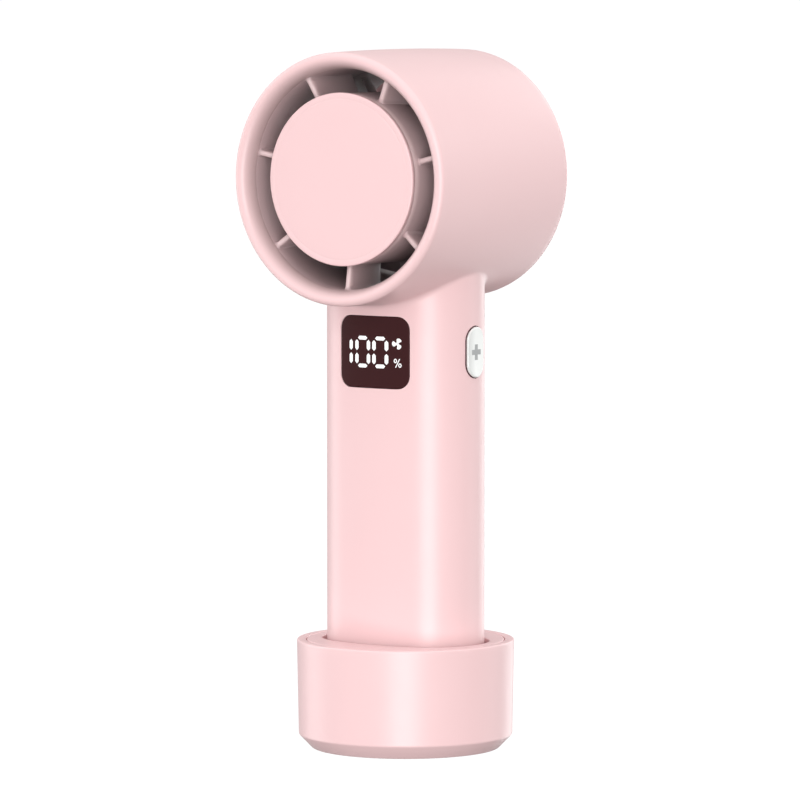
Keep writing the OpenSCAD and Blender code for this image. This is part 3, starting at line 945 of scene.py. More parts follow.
@dataclass(frozen=True)
class Board:
    """A printed circuit board with traces under its green mask, and tinned pads."""

    name: str

    def build(self) -> bpy.types.Material:
        """Mixes the material.

        Returns:
            The material.
        """
        paint = Paint(self.name)
        cells = paint.node(
            "ShaderNodeTexBrick",
            {"offset": 0.5},
            {
                "Vector": paint.stretched((1.0, 0.01, 1.0)), "Scale": 0.35, "Mortar Size": 0.05,
                "Color1": (0.010, 0.085, 0.035, 1), "Color2": (0.014, 0.11, 0.045, 1),
                "Mortar": (0.03, 0.20, 0.08, 1),
            },
        )
        dots = paint.node(
            "ShaderNodeTexVoronoi", {"feature": "F1"}, {"Vector": paint.place, "Scale": 0.45}, "Distance"
        )
        pads = 1 - (dots > 0.22)
        paint.set(
            Base_Color=paint.mixed(pads, cells, (0.62, 0.60, 0.55)),
            Metallic=pads * 0.8, Roughness=pads * 0.1 + 0.28,
            Normal=paint.bump(cells, 0.3, 0.03),
        )
        return paint.material


@dataclass(frozen=True)
class DuctPlasticWithPaintedShade:
    """The duct's inside: a greyer plastic, with shade painted on that darkens it with depth behind the
    lip and near the hub and the outer wall.

    Attributes:
        name: The material's name.
        mouth: Colour of the vanes' front edges, where the painted shade begins.
        wall: Colour of the walls near the mouth, greyer plastic with some painted shade.
        middle: Colour half way in, darker with painted shade.
        deep_shade: Colour at the impeller, darkest with painted shade.
        roughness: Its roughness.
        axis_z: Height of the head's axis.
        mouth_at: Distance of the mouth ahead of the handle's axis.
        deep_at: Distance ahead of the darkest painted shade.
        corner_shade_shift: Painted shade near the hub and the outer wall: how much farther down the ramp
            a place is there, as (position, shift), where position 0 to 1 is 20 to 30 mm from the axis.
    """

    name: str
    mouth: Rgb
    wall: Rgb
    middle: Rgb
    deep_shade: Rgb
    roughness: float = 0.42
    axis_z: float = HEAD_Z
    mouth_at: float = 27.6
    deep_at: float = 4.0
    corner_shade_shift: tuple[Flat, ...] = ((0.26, 0.05), (0.36, 0.0), (0.76, 0.0), (0.87, 0.1))

    def build(self) -> bpy.types.Material:
        """Mixes the material.

        Returns:
            The material.
        """
        paint = Paint(self.name)
        # Painted shade: the colour darkens with depth into the duct and near the hub and the outer wall,
        # on top of a greyer plastic.
        depth = (self.mouth_at - paint.ahead()) * (1 / (self.mouth_at - self.deep_at))
        across = (paint.from_axis(self.axis_z) - 20.0) * 0.1
        levels = [(at, (level, level, level)) for at, level in self.corner_shade_shift]
        corner_shade = paint.ramp(across, *levels)
        fine = paint.noise(0.22, 3.0)
        cloud = paint.noise(9.0)
        colour = paint.ramp(
            depth + corner_shade + (cloud - 0.5) * 0.06,
            (0.0, self.mouth), (0.05, self.mouth), (0.11, self.wall), (0.5, self.middle),
            (1.0, self.deep_shade),
        )
        paint.set(
            Base_Color=colour, Roughness=cloud * 0.1 + (self.roughness - 0.05),
            Normal=paint.bump(fine, 0.6, 0.0025),
        )
        return paint.material


@dataclass(frozen=True)
class KeyGloss:
    """Glossy white plastic, with shade painted on: dark below the handle's surface, in the gap round the
    key, and darker towards the face's front edge.

    Attributes:
        name: The material's name.
        colour: Its linear colour.
        gap_shade: Colour of the painted shade below the handle's surface.
        oval: The handle's section, where the painted shade ends.
        roughness: Roughness of the face.
        dulling: How much rougher it is below the handle's surface, where the shade is painted.
    """

    name: str
    colour: Rgb
    gap_shade: Rgb
    oval: Oval
    roughness: float = 0.14
    dulling: float = 0.36

    def build(self) -> bpy.types.Material:
        """Mixes the material.

        Returns:
            The material.
        """
        paint = Paint(self.name)
        folded = paint.vector("ABSOLUTE", paint.place)
        from_side = paint.vector("SUBTRACT", folded, (self.oval.side_x, 0, 0))
        reach = paint.vector("LENGTH", paint.vector("MULTIPLY", from_side, (1, 1, 0)), output="Value")
        # Painted shade: below the handle's surface the key is dark, standing in for the shade in the gap
        # round it.
        above = reach > self.oval.side_radius + 0.2
        fine = paint.noise(0.5)
        across = paint.node("ShaderNodeSeparateXYZ", sockets={0: paint.place}, output="Y")
        # Painted shade: the face darkens towards its front edge.
        white = paint.ramp(
            (across + 3.4) * 0.2 + fine * 0.04,
            (0.0, tinted(self.colour, -0.24)), (0.2, tinted(self.colour, -0.17)), (0.6, self.colour),
        )
        paint.set(
            Base_Color=paint.mixed(above, self.gap_shade, white),
            Roughness=above * -self.dulling + (self.roughness + self.dulling) + fine * 0.02,
            Coat_Weight=0.4, Coat_Roughness=0.05,
        )
        return paint.material


HANDLE = Oval(22.2, 15.4, 14.6)
PINK = (0.778, 0.535, 0.541)

FINISHES = {
    "pink_plastic": Moulded("satin pink plastic", PINK, 0.36),
    # the casing's colour has painted shade inside the lip
    "shell": ShellPlasticWithLipShade("satin pink casing with painted lip shade", PINK, 0.36),
    # duct plastic: greyer, with painted shade that darkens it with depth
    "duct": DuctPlasticWithPaintedShade(
        "grey duct plastic with painted depth shade", (0.66, 0.50, 0.50), (0.48, 0.35, 0.355), (0.39, 0.295, 0.30),
        (0.21, 0.165, 0.17),
    ),
    # white keys: painted shade in the gap round them and on the face's front edge
    "white_gloss": KeyGloss("glossy white key with painted shade", (0.84, 0.855, 0.835), (0.10, 0.05, 0.055), HANDLE),
    "grey_print": Moulded("grey ink", (0.36, 0.37, 0.37), 0.45, 0.03, 0.003, 0.12),
    "dark_lens": Moulded("smoked lens", (0.042, 0.0128, 0.0140), 0.34, 0.03, 0.0, 0.4, specular=0.08),
    "display_light": Lit("lit bars", (1.0, 1.0, 1.0), 0.72),
    "white_plastic": Moulded("plain white plastic", (0.72, 0.72, 0.70), 0.42),
    "circuit_board": Board("circuit board"),
    "switch_body": Moulded("black switch plastic", (0.02, 0.02, 0.022), 0.40),
    "black_insulation": Moulded("black wire sleeve", (0.015, 0.015, 0.016), 0.48, 0.1, 0.006, 0.3),
    "cell_wrap": Moulded("blue cell sleeve", (0.03, 0.16, 0.42), 0.28, 0.06, 0.002, 0.6, coat=0.4),
    "steel": Metal("turned steel", (0.62, 0.62, 0.63), 0.28, (0.25, 1.0, 0.25)),
    "weight_steel": Metal("rolled steel", (0.34, 0.34, 0.35), 0.45, (0.12, 1.0, 1.0), 0.8),
    "nickel": Metal("nickel plate", (0.66, 0.64, 0.60), 0.24, (1.0, 1.0, 0.2)),
    "laminations": Striped(
        "stacked core sheets", (0.10, 0.10, 0.11), (0.42, 0.42, 0.44), 0.35, "Y", 0.9, 0.40
    ),
    "magnet": Metal("magnet plate", (0.30, 0.30, 0.31), 0.35, (1.0, 0.3, 1.0)),
    "aluminium": Metal("turned aluminium", (0.72, 0.73, 0.75), 0.32, (0.3, 1.0, 0.3), 0.3),
    "copper": Striped(
        "enamelled copper wire", (0.20, 0.05, 0.015), (0.80, 0.32, 0.12), 0.42, "Y", 0.9, 0.30
    ),
    "silicone": Moulded("grey silicone", (0.10, 0.095, 0.10), 0.62, 0.05, 0.01, 0.4),
}


# ---------------------------------------------------------------- the sub-assemblies


@dataclass
class Casing:
    """The pink body: the handle flowing into the drum, with its openings.

    Attributes:
        oval: The handle's section.
        drum: The drum's outside.
        wall: Thickness of the wall.
        foot_z: Height of its lower end.
        fillet: Radius of the hollow between handle and drum.
        face_z: Height of the display and the buttons.
        port_z: Height of the charging port.
        columns: Points round the handle, and steps round the drum.
        neck_z: Height where the handle's own rows end and the neck begins.
        window_half_angle: Half the turn left out of the drum's skin for the neck, in degrees.
        window_half_depth: Half the length left out.
        lip_radius: Radius of the drum's front edge.
        throat: Distance ahead where the flare meets the duct.
        duct_radius: The duct's radius.
        display: Width, height and corner radius of the display's opening.
        slot: The same for a key's slot.
        port: The same for the charging port's opening.
        inside_radius: Distance from the drum's axis that its outside stays beyond.
        lip_depth: Distance behind the front where the wall starts to thin.
        lip_run: Length over which it thins.
        lip_thinning: Share of the wall that is gone at the end of it.
        display_rows: Heights of the rows of points the display's opening lies between.
        port_rows: The same for the charging port's opening.
    """

    oval: Oval
    drum: Drum
    paints: dict[str, bpy.types.Material]
    wall: float = 2.0
    foot_z: float = 9.4
    fillet: float = 2.0
    face_z: float = FACE_Z
    port_z: float = PORT_Z
    columns: int = 96
    neck_z: float = 116.0
    window_half_angle: float = 56.25
    window_half_depth: float = 22.4
    lip_radius: float = 1.44
    throat: float = THROAT
    duct_radius: float = DUCT_RADIUS
    display: Point = (22.0, 19.1, 3.55)
    slot: Point = (7.9, 13.9, 3.9499)
    port: Point = (9.4, 3.7, 1.8499)
    inside_radius: float = 32.0
    lip_depth: float = 5.5
    lip_run: float = 3.5
    lip_thinning: float = 0.86
    display_rows: Flat = (94.0, 116.0)
    port_rows: Flat = (82.4, 89.6)

    def profile(self) -> list[Flat]:
        """The line of the drum's skin.

        Returns:
            (radius, ahead) along the outside, over the lip and down the flare.
        """
        drum = self.drum
        lip_ahead = drum.front - self.lip_radius
        crest = drum.radius(lip_ahead) - self.lip_radius
        stations = [-27.2, -25.6, -24.0]
        stations += spaced(-self.window_half_depth, self.window_half_depth, 18)
        stations += [24.4, 26.4, 28.4, lip_ahead]
        skin = [(drum.radius(a), a) for a in stations]
        skin += arc((crest, lip_ahead), self.lip_radius, 0, 90, 10)[1:]
        steps = 16
        for step in range(1, steps + 1):
            turn = math.pi / 2 * (1 + step / steps)
            skin.append((
                crest + (crest - self.duct_radius) * math.cos(turn),
                self.throat + (drum.front - self.throat) * math.sin(turn),
            ))
        return skin

    def rolling_centre(self, share: float) -> tuple[Vector, Flat]:
        """Rolls a ball into the hollow between the handle and the drum.

        Args:
            share: Share of the way round the handle.

        Returns:
            The ball's centre, and the handle's normal where they touch.
        """
        point, normal = self.oval.at(share)
        x = point[0] + self.fillet * normal[0]
        y = point[1] + self.fillet * normal[1]
        reach = self.drum.radius(-y) + self.fillet
        return Vector((x, y, self.drum.axis_z - math.sqrt(reach**2 - x**2))), normal

    def handle_rows(self) -> list[list[Point]]:
        """The skin of the handle and its neck.

        Returns:
            Rows of points up the handle and over the hollow to the drum.
        """
        low, high = self.port_rows
        heights = spaced(self.foot_z, low, 10) + spaced(low, high, 4)[1:]
        heights += spaced(high, self.display_rows[0], 2)[1:] + spaced(*self.display_rows, 12)[1:]
        rows = [self.oval.ring(self.columns, z) for z in heights]
        balls = [self.rolling_centre(i / self.columns) for i in range(self.columns)]
        base = self.neck_z
        neck_steps = 4
        for step in range(1, neck_steps + 1):
            rows.append([
                (*self.oval.at(i / self.columns)[0], base + (ball.z - base) * step / neck_steps)
                for i, (ball, _) in enumerate(balls)
            ])
        arc_steps = 5
        for step in range(1, arc_steps + 1):
            row = []
            for ball, normal in balls:
                start = Vector((-normal[0], -normal[1], 0))
                end = Vector((-ball.x, 0, self.drum.axis_z - ball.z)).normalized()
                turn = start.slerp(end, step / arc_steps)
                row.append(tuple(ball + turn * self.fillet))
            rows.append(row)
        return rows

    def on_front(self, outline: Sequence[Flat], z: float, back: bool = False) -> list[Point]:
        """Places a flat outline on the handle's front, or its back."""
        side = 1 if back else -1
        return [(u, side * self.oval.depth_at(u), z + v) for u, v in outline]

    def build(self) -> None:
        """Builds the casing as one skin and gives it its wall."""
        drum = self.drum
        head = lathe_skin("casing", self.profile(), drum.axis_z, self.columns)
        with head.editing() as mesh:
            bpy.ops.mesh.select_mode(type="FACE")
            for face in mesh.faces:
                middle = face.calc_center_median() / MM
                angle = math.degrees(math.atan2(middle.x, drum.axis_z - middle.z))
                outside = Vector((middle.x, middle.z - drum.axis_z)).length > self.inside_radius
                within = abs(angle) < self.window_half_angle and abs(middle.y) < self.window_half_depth
                if outside and within:
                    face.select_set(True)
            bpy.ops.mesh.delete(type="FACE")
        head.join(Workpiece.loft("handle", self.handle_rows(), capped=False))
        with head.editing() as mesh:
            bpy.ops.mesh.select_mode(type="EDGE")
            for edge in mesh.edges:
                middle = (edge.verts[0].co + edge.verts[1].co) / 2 / MM
                inner = abs(middle.y) < self.window_half_depth + 1 and 100 < middle.z < drum.axis_z
                if edge.is_boundary and inner:
                    edge.select_set(True)
            head.bridge(3, drum.snap)
        self._openings(head)
        lip_start = drum.front - self.lip_depth

        def share(place: Vector) -> float:
            """Full thickness, thinning towards the lip."""
            run = min(1.0, max(0.0, (-place.y - lip_start) / self.lip_run))
            return 1.0 - self.lip_thinning * run if place.z > self.neck_z - 1 else 1.0

        head.thicken(self.wall - 0.15, share)
        head.rounded(0.2, 3, 38).dressed(self.paints["shell"], "fan", "pink_plastic", "outer_shell")

    def _openings(self, skin: Workpiece) -> None:
        """Cuts the display window, the two key slots and the charging port.

        Args:
            skin: The casing.
        """
        step = self.oval.at(1 / self.columns)[0]
        reach = 10.02 * math.dist(self.oval.at(0.25)[0], self.oval.at(0.25 + 1 / self.columns)[0])
        skin.window(
            lambda c: c.y < 0 and abs(c.x) < reach and self.display_rows[0] < c.z < self.display_rows[1],
            self.on_front(rounded_outline(*self.display, (8, 7, 10)), self.face_z),
            self.oval.snap, 2,
        )
        tall = 4.02 * step[1]
        slot = rounded_outline(*self.slot, (5, 6, 0))
        for side in (1, -1):
            skin.window(
                lambda c, side=side: c.x * side > 0 and abs(c.y) < tall and 97.6 < c.z < 114.2,
                [(side * self.oval.width_at(u), u, self.face_z + v) for u, v in slot],
                self.oval.snap, 2,
            )
        skin.window(
            lambda c: c.y > 0 and abs(c.x) < reach / 2 and self.port_rows[0] < c.z < self.port_rows[1],
            self.on_front(rounded_outline(*self.port, (0, 4, 6)), self.port_z, back=True),
            self.oval.snap, 2,
        )


def lathe_skin(name: str, profile: Sequence[Flat], axis_z: float, steps: int) -> Workpiece:
    """An open turned skin about the head's axis, from a (radius, ahead) line."""
    wire = Workpiece.wire(name, [(r, -ahead, axis_z) for r, ahead in profile], closed=False)
    return wire.spin((0, 0, axis_z), (0, 1, 0), steps)


@dataclass
class Outlet:
    """The fixed front of the head: duct lining, vanes, hub and its disc.

    Attributes:
        throat: Distance ahead where the lining ends.
        rear: Distance ahead where the lining and the hub begin.
        lining_wall: Thickness of the lining.
        hub_front: Distance ahead where the hub ends.
        hub_wall: Thickness of the hub's wall.
        bore: Radius of the hole in the hub's floor.
        vane_front_inner: Distance ahead of a vane's front edge at the hub.
        vane_rear: Distance ahead of its rear edge.
        sweep: How far it leans sideways on its way to the rear.
        flare: Height of the flare at its roots.
        face: Distance ahead of the disc's face.
        rim: The disc's radius.
        plate: The disc's thickness.
    """

    axis_z: float
    paints: dict[str, bpy.types.Material]
    duct_radius: float = DUCT_RADIUS
    hub_radius: float = 22.4
    throat: float = THROAT
    rear: float = 6.0
    vanes: int = 7
    vane_thickness: float = 1.4
    vane_front_inner: float = 26.3
    vane_rear: float = 9.5
    sweep: float = 1.8
    flare: float = 0.9
    lining_wall: float = 2.3
    hub_front: float = 28.6
    hub_wall: float = 1.6
    bore: float = 4.1
    face: float = 30.05
    rim: float = 22.58
    plate: float = 1.4

    def sway(self, ahead: float) -> float:
        """Sideways shift of the vane at a distance ahead."""
        return -self.sweep * ((27.5 - ahead) / 18.0) ** 2

    def place(self, radius: float, sideways: float, ahead: float, angle: float) -> Point:
        """A point given about the head's axis."""
        return (
            radius * math.cos(angle) - sideways * math.sin(angle),
            -ahead,
            self.axis_z + radius * math.sin(angle) + sideways * math.cos(angle),
        )

    def vane(self) -> Workpiece:
        """Shapes the lowest vane.

        Returns:
            The vane, with roots that flare into the hub and the duct.
        """
        from_hub = (-0.5, 0.05, 0.3, 0.6, 1.0)
        radii = [self.hub_radius + d for d in from_hub]
        radii += spaced(self.hub_radius + 1.8, self.duct_radius - 1.8, 4)
        radii += [self.duct_radius - d for d in reversed(from_hub)]
        down = math.radians(270)
        rows = []
        for radius in radii:
            gap = min(radius - self.hub_radius, self.duct_radius - radius)
            rise = max(0.0, 1 - max(gap, 0.0) / self.flare)
            half = self.vane_thickness / 2 + 0.55 * rise**2.2
            share = (radius - self.hub_radius) / (self.duct_radius - self.hub_radius)
            front = self.vane_front_inner + (self.throat - self.vane_front_inner) * share
            row = []
            nose = min(half, 0.7)
            for side in (1, -1):
                stations = spaced(front - nose, self.vane_rear + 0.5, 9)
                if side < 0:
                    stations.reverse()
                for ahead in stations:
                    taper = 1 - 0.35 * ((front - ahead) / 18)
                    row.append(self.place(radius, self.sway(ahead) + side * half * taper, ahead, down))
                for k in range(1, 6):
                    angle = math.pi * k / 6
                    if side > 0:
                        shift = math.cos(angle) * half * 0.65
                        ahead = self.vane_rear + 0.5 - 0.5 * math.sin(angle)
                    else:
                        shift = -math.cos(angle) * half
                        ahead = front - nose + nose * math.sin(angle)
                    row.append(self.place(radius, self.sway(ahead) + shift, ahead, down))
            rows.append(row)
        return Workpiece.loft("outlet_vanes", rows)

    def build(self) -> None:
        """Builds the lining with its vanes and hub, then the disc."""
        pink = self.paints["pink_plastic"]
        outer = self.duct_radius + self.lining_wall
        inner = self.hub_radius - self.hub_wall
        lining = lathe("outlet_lining", [
            *[(self.duct_radius, a) for a in (self.rear, 12, 18, 24, self.throat)],
            (outer, self.throat), (outer, self.rear),
        ], self.axis_z).rounded(0.12, 2)
        hub = lathe("outlet_hub", [
            (self.bore, self.rear),
            *[(self.hub_radius, a) for a in (self.rear, 12, 18, 24, self.hub_front)],
            (inner, self.hub_front), (inner, self.rear + 2), (self.bore, self.rear + 2),
        ], self.axis_z).rounded(0.25, 3)
        vanes = self.vane().smooth(40).repeated(self.vanes, (0, 0, self.axis_z), "Y")
        lining.join(hub, vanes)
        lining.dressed(self.paints["duct"], "fan", "pink_plastic", "stator_vanes")
        edge = 0.35
        groove = (
            (20.55, 0), (20.7, 0.012), (20.85, 0.045), (20.98, 0.06), (21.1, 0.045), (21.25, 0.012),
            (21.4, 0),
        )
        back = self.face - self.plate
        disc = lathe("hub_disc", [
            *[(r, self.face) for r in (0.0, 6.0, 12.0, 17.0)],
            *[(r, self.face - depth) for r, depth in groove],
            *arc((self.rim - edge, self.face - edge), edge, 90, 0, 6),
            (self.rim, self.face - 1.25), (self.rim - 0.15, back), (20.7, back), (20.7, 24.65),
            (19.5, 24.65), (19.5, back), (10.0, back), (0.0, back),
        ], self.axis_z, 128)
        disc.smooth(50).dressed(pink, "fan", "pink_plastic", "hub_cap")


@dataclass
class Rotor:
    """The impeller with its nine blades, its nose, and the ring it runs in."""

    axis_z: float
    paints: dict[str, bpy.types.Material]
    blades: int = 9
    tip_radius: float = 28.15
    inlet: float = -12.5
    outlet: float = 4.0

    def hub_line(self, inset: float) -> list[Flat]:
        """(radius, ahead) down the hub's outside, smoothed."""
        knots = [(22.0, 5.5), (21.85, 3.0), (21.6, 0.0), (20.85, -2.6), (19.6, -5.0), (17.9, -7.5),
                 (15.6, -10.0), (12.6, -12.0), (9.0, -13.4), (6.6, -13.9), (4.6, -14.0)]
        return [(r - inset if r > 4.6 else r, a + inset * max(0.0, (5 - a) / 19)) for r, a in knots]

    def hub_radius(self, ahead: float) -> float:
        """The hub's outside radius.

        Args:
            ahead: Distance ahead of the handle's axis.

        Returns:
            The radius there.
        """
        line = self.hub_line(0)
        for (r1, a1), (r0, a0) in zip(line, line[1:]):
            if a0 <= ahead <= a1:
                return r0 + (r1 - r0) * (ahead - a0) / (a1 - a0)
        return line[-1][0]

    def blade(self) -> Workpiece:
        """Shapes one blade.

        Returns:
            The twisted blade, from inside the hub to its rounded tip.
        """
        rows = []
        steps = 16
        tip = 8
        for level in range(tip + 1):
            row = []
            out = level / tip
            for side in (1, -1):
                for i in range(steps + 1):
                    s = i / steps if side > 0 else 1 - i / steps
                    ahead = self.inlet + (self.outlet - self.inlet) * s
                    root = max(6.0, self.hub_radius(ahead) - 0.6)
                    radius = root + (self.tip_radius - root) * out
                    thick = 0.5 * (1 - 0.25 * out) * math.sqrt(max(0.05, 1 - (2 * s - 1) ** 6))
                    if level == tip:
                        thick *= 0.55
                    lead = 9 * (1 - s) ** 1.6 - 3 + side * thick
                    around = math.sqrt(max(radius**2 - lead**2, 1.0))
                    row.append((around, -ahead, self.axis_z + lead))
            rows.append(row)
        return Workpiece.loft("impeller_blade", rows)

    def build(self) -> None:
        """Builds the wheel, the nose and the ring round the wheel."""
        pink = self.paints["pink_plastic"]
        wheel = lathe("impeller_wheel", [
            *self.hub_line(0), (3.25, -14.0), (3.25, -13.05), (1.05, -12.6), (1.05, -7.7),
            (14.0, -7.7), (14.0, 4.2), (14.6, 5.1), (15.4, 4.6), (15.4, -6.0), (17.8, -4.4), (20.0, 0.0),
            (20.4, 4.5), (20.8, 5.5),
        ], self.axis_z).rounded(0.15, 2, 40)
        blades = self.blade().smooth(45).repeated(self.blades, (0, 0, self.axis_z), "Y")
        wheel.join(blades)
        wheel.dressed(self.paints["duct"], "rotor", "pink_plastic", "impeller")
        dome = [
            (4.55 * math.cos(math.radians(t)), -14.02 - 1.95 * math.sin(math.radians(t)))
            for t in range(0, 90, 10)
        ]
        nose = lathe("impeller_nose_cap", [
            (0.0, -13.15), (3.05, -13.15), (3.05, -14.02), *dome, (0.0, -15.97),
        ], self.axis_z, 64)
        nose.smooth(50).dressed(pink, "rotor", "pink_plastic", "impeller_nose")
        bell = [*arc((30.6, -12.0), 1.8, 180, 210, 3), (29.45, -14.4), (29.95, -15.5), (30.55, -15.98)]
        shroud = lathe("inlet_ring", [
            *[(DUCT_RADIUS, ahead) for ahead in (5.98, 0.0, -6.0)],
            *bell, (31.05, -15.98), (31.05, 5.98),
        ], self.axis_z)
        shroud.rounded(0.1, 2, 50).dressed(self.paints["duct"], "fan", "pink_plastic", "impeller_shroud")


@dataclass
class Grille:
    """The cover on the back of the drum: a rim, four rings and twelve bars."""

    drum: Drum
    paints: dict[str, bpy.types.Material]
    rings: tuple[float, ...] = (8.6, 13.3, 18.0, 22.7)
    bars: int = 12
    bar_width: float = 1.2
    edge_radius: float = 1.2
    face: float = -28.2
    front: float = -26.9

    def build(self) -> None:
        """Builds the rim, the rings, the middle and the bars as one piece."""
        drum = self.drum
        shell_rear = -drum.rear + self.edge_radius
        rim_radius = drum.radius(shell_rear)
        rim = lathe("rear_cover", [
            (27.5, -drum.rear), (29.5, -drum.rear),
            *arc((rim_radius - self.edge_radius, shell_rear), self.edge_radius, -90, 0, 8),
            (31.1, shell_rear), (31.1, -24.2), (29.6, -24.2), (29.6, self.front), (27.5, self.front),
        ], drum.axis_z).rounded(0.2, 3, 40)
        half = self.bar_width / 2
        for radius in self.rings:
            ring = lathe("ring", [
                (radius - half, self.face), (radius + half, self.face),
                (radius + half, self.front), (radius - half, self.front),
            ], drum.axis_z)
            rim.join(ring.rounded(0.3, 3))
        middle = lathe("middle", [
            (0.0, self.face - 0.1), (2.5, self.face - 0.08), (4.5, self.face + 0.1),
            (4.5, self.front), (0.0, self.front),
        ], drum.axis_z)
        rim.join(middle.rounded(0.3, 3))
        rows = []
        for x in spaced(3.0, 28.4, 8):
            outline = rounded_outline(self.bar_width, self.front - self.face - 0.1, 0.3, (2, 3, 2))
            rows.append([
                (x, -((self.face + 0.1 + self.front) / 2 + v), drum.axis_z + u) for u, v in outline
            ])
        bar = Workpiece.loft("bar", rows).smooth(40)
        rim.join(bar.repeated(self.bars, (0, 0, drum.axis_z), "Y"))
        rim.dressed(self.paints["pink_plastic"], "fan", "pink_plastic", "rear_grille")


@dataclass
class Display:
    """The smoked window on the handle's front."""

    oval: Oval
    paints: dict[str, bpy.types.Material]
    width: float = 21.9
    height: float = 19.0
    corner: float = 3.5
    middle_z: float = FACE_Z
    sunk: float = 0.05
    thickness: float = 1.55
    edge: float = 0.3

    def build(self) -> None:
        """Builds the window as rings from its back over its edge to its front."""

        def row(inset: float, scale: float, depth: float) -> list[Point]:
            """One outline of the window.

            Args:
                inset: How far it lies inside the window's edge.
                scale: Its size about the window's middle.
                depth: How far it lies below the oval.

            Returns:
                Its points.
            """
            outline = rounded_outline(
                self.width - 2 * inset, self.height - 2 * inset, self.corner - inset, (8, 8, 10)
            )
            sunk = self.oval.grown(-depth)
            places = [(u * scale, v * scale) for u, v in outline]
            return [(u, -sunk.depth_at(u), self.middle_z + v) for u, v in places]

        back = self.thickness
        rows = [row(0.1, s, back) for s in (0.04, 0.35, 0.7, 0.9)]
        rows += [row(0.1, 1, back)]
        rows += [row(0, 1, depth) for depth in (back - 0.1, 0.9, self.sunk + self.edge)]
        rows += [row(inset, 1, self.sunk + drop) for inset, drop in quarter_round(self.edge, 5)]
        rows += [row(self.edge, s, self.sunk) for s in (0.97, 0.9, 0.8, 0.65, 0.5, 0.35, 0.2, 0.04)]
        lens = Workpiece.loft("display_window", rows)
        lens.smooth(40).dressed(self.paints["dark_lens"], "fan", "dark_lens", "display_lens")


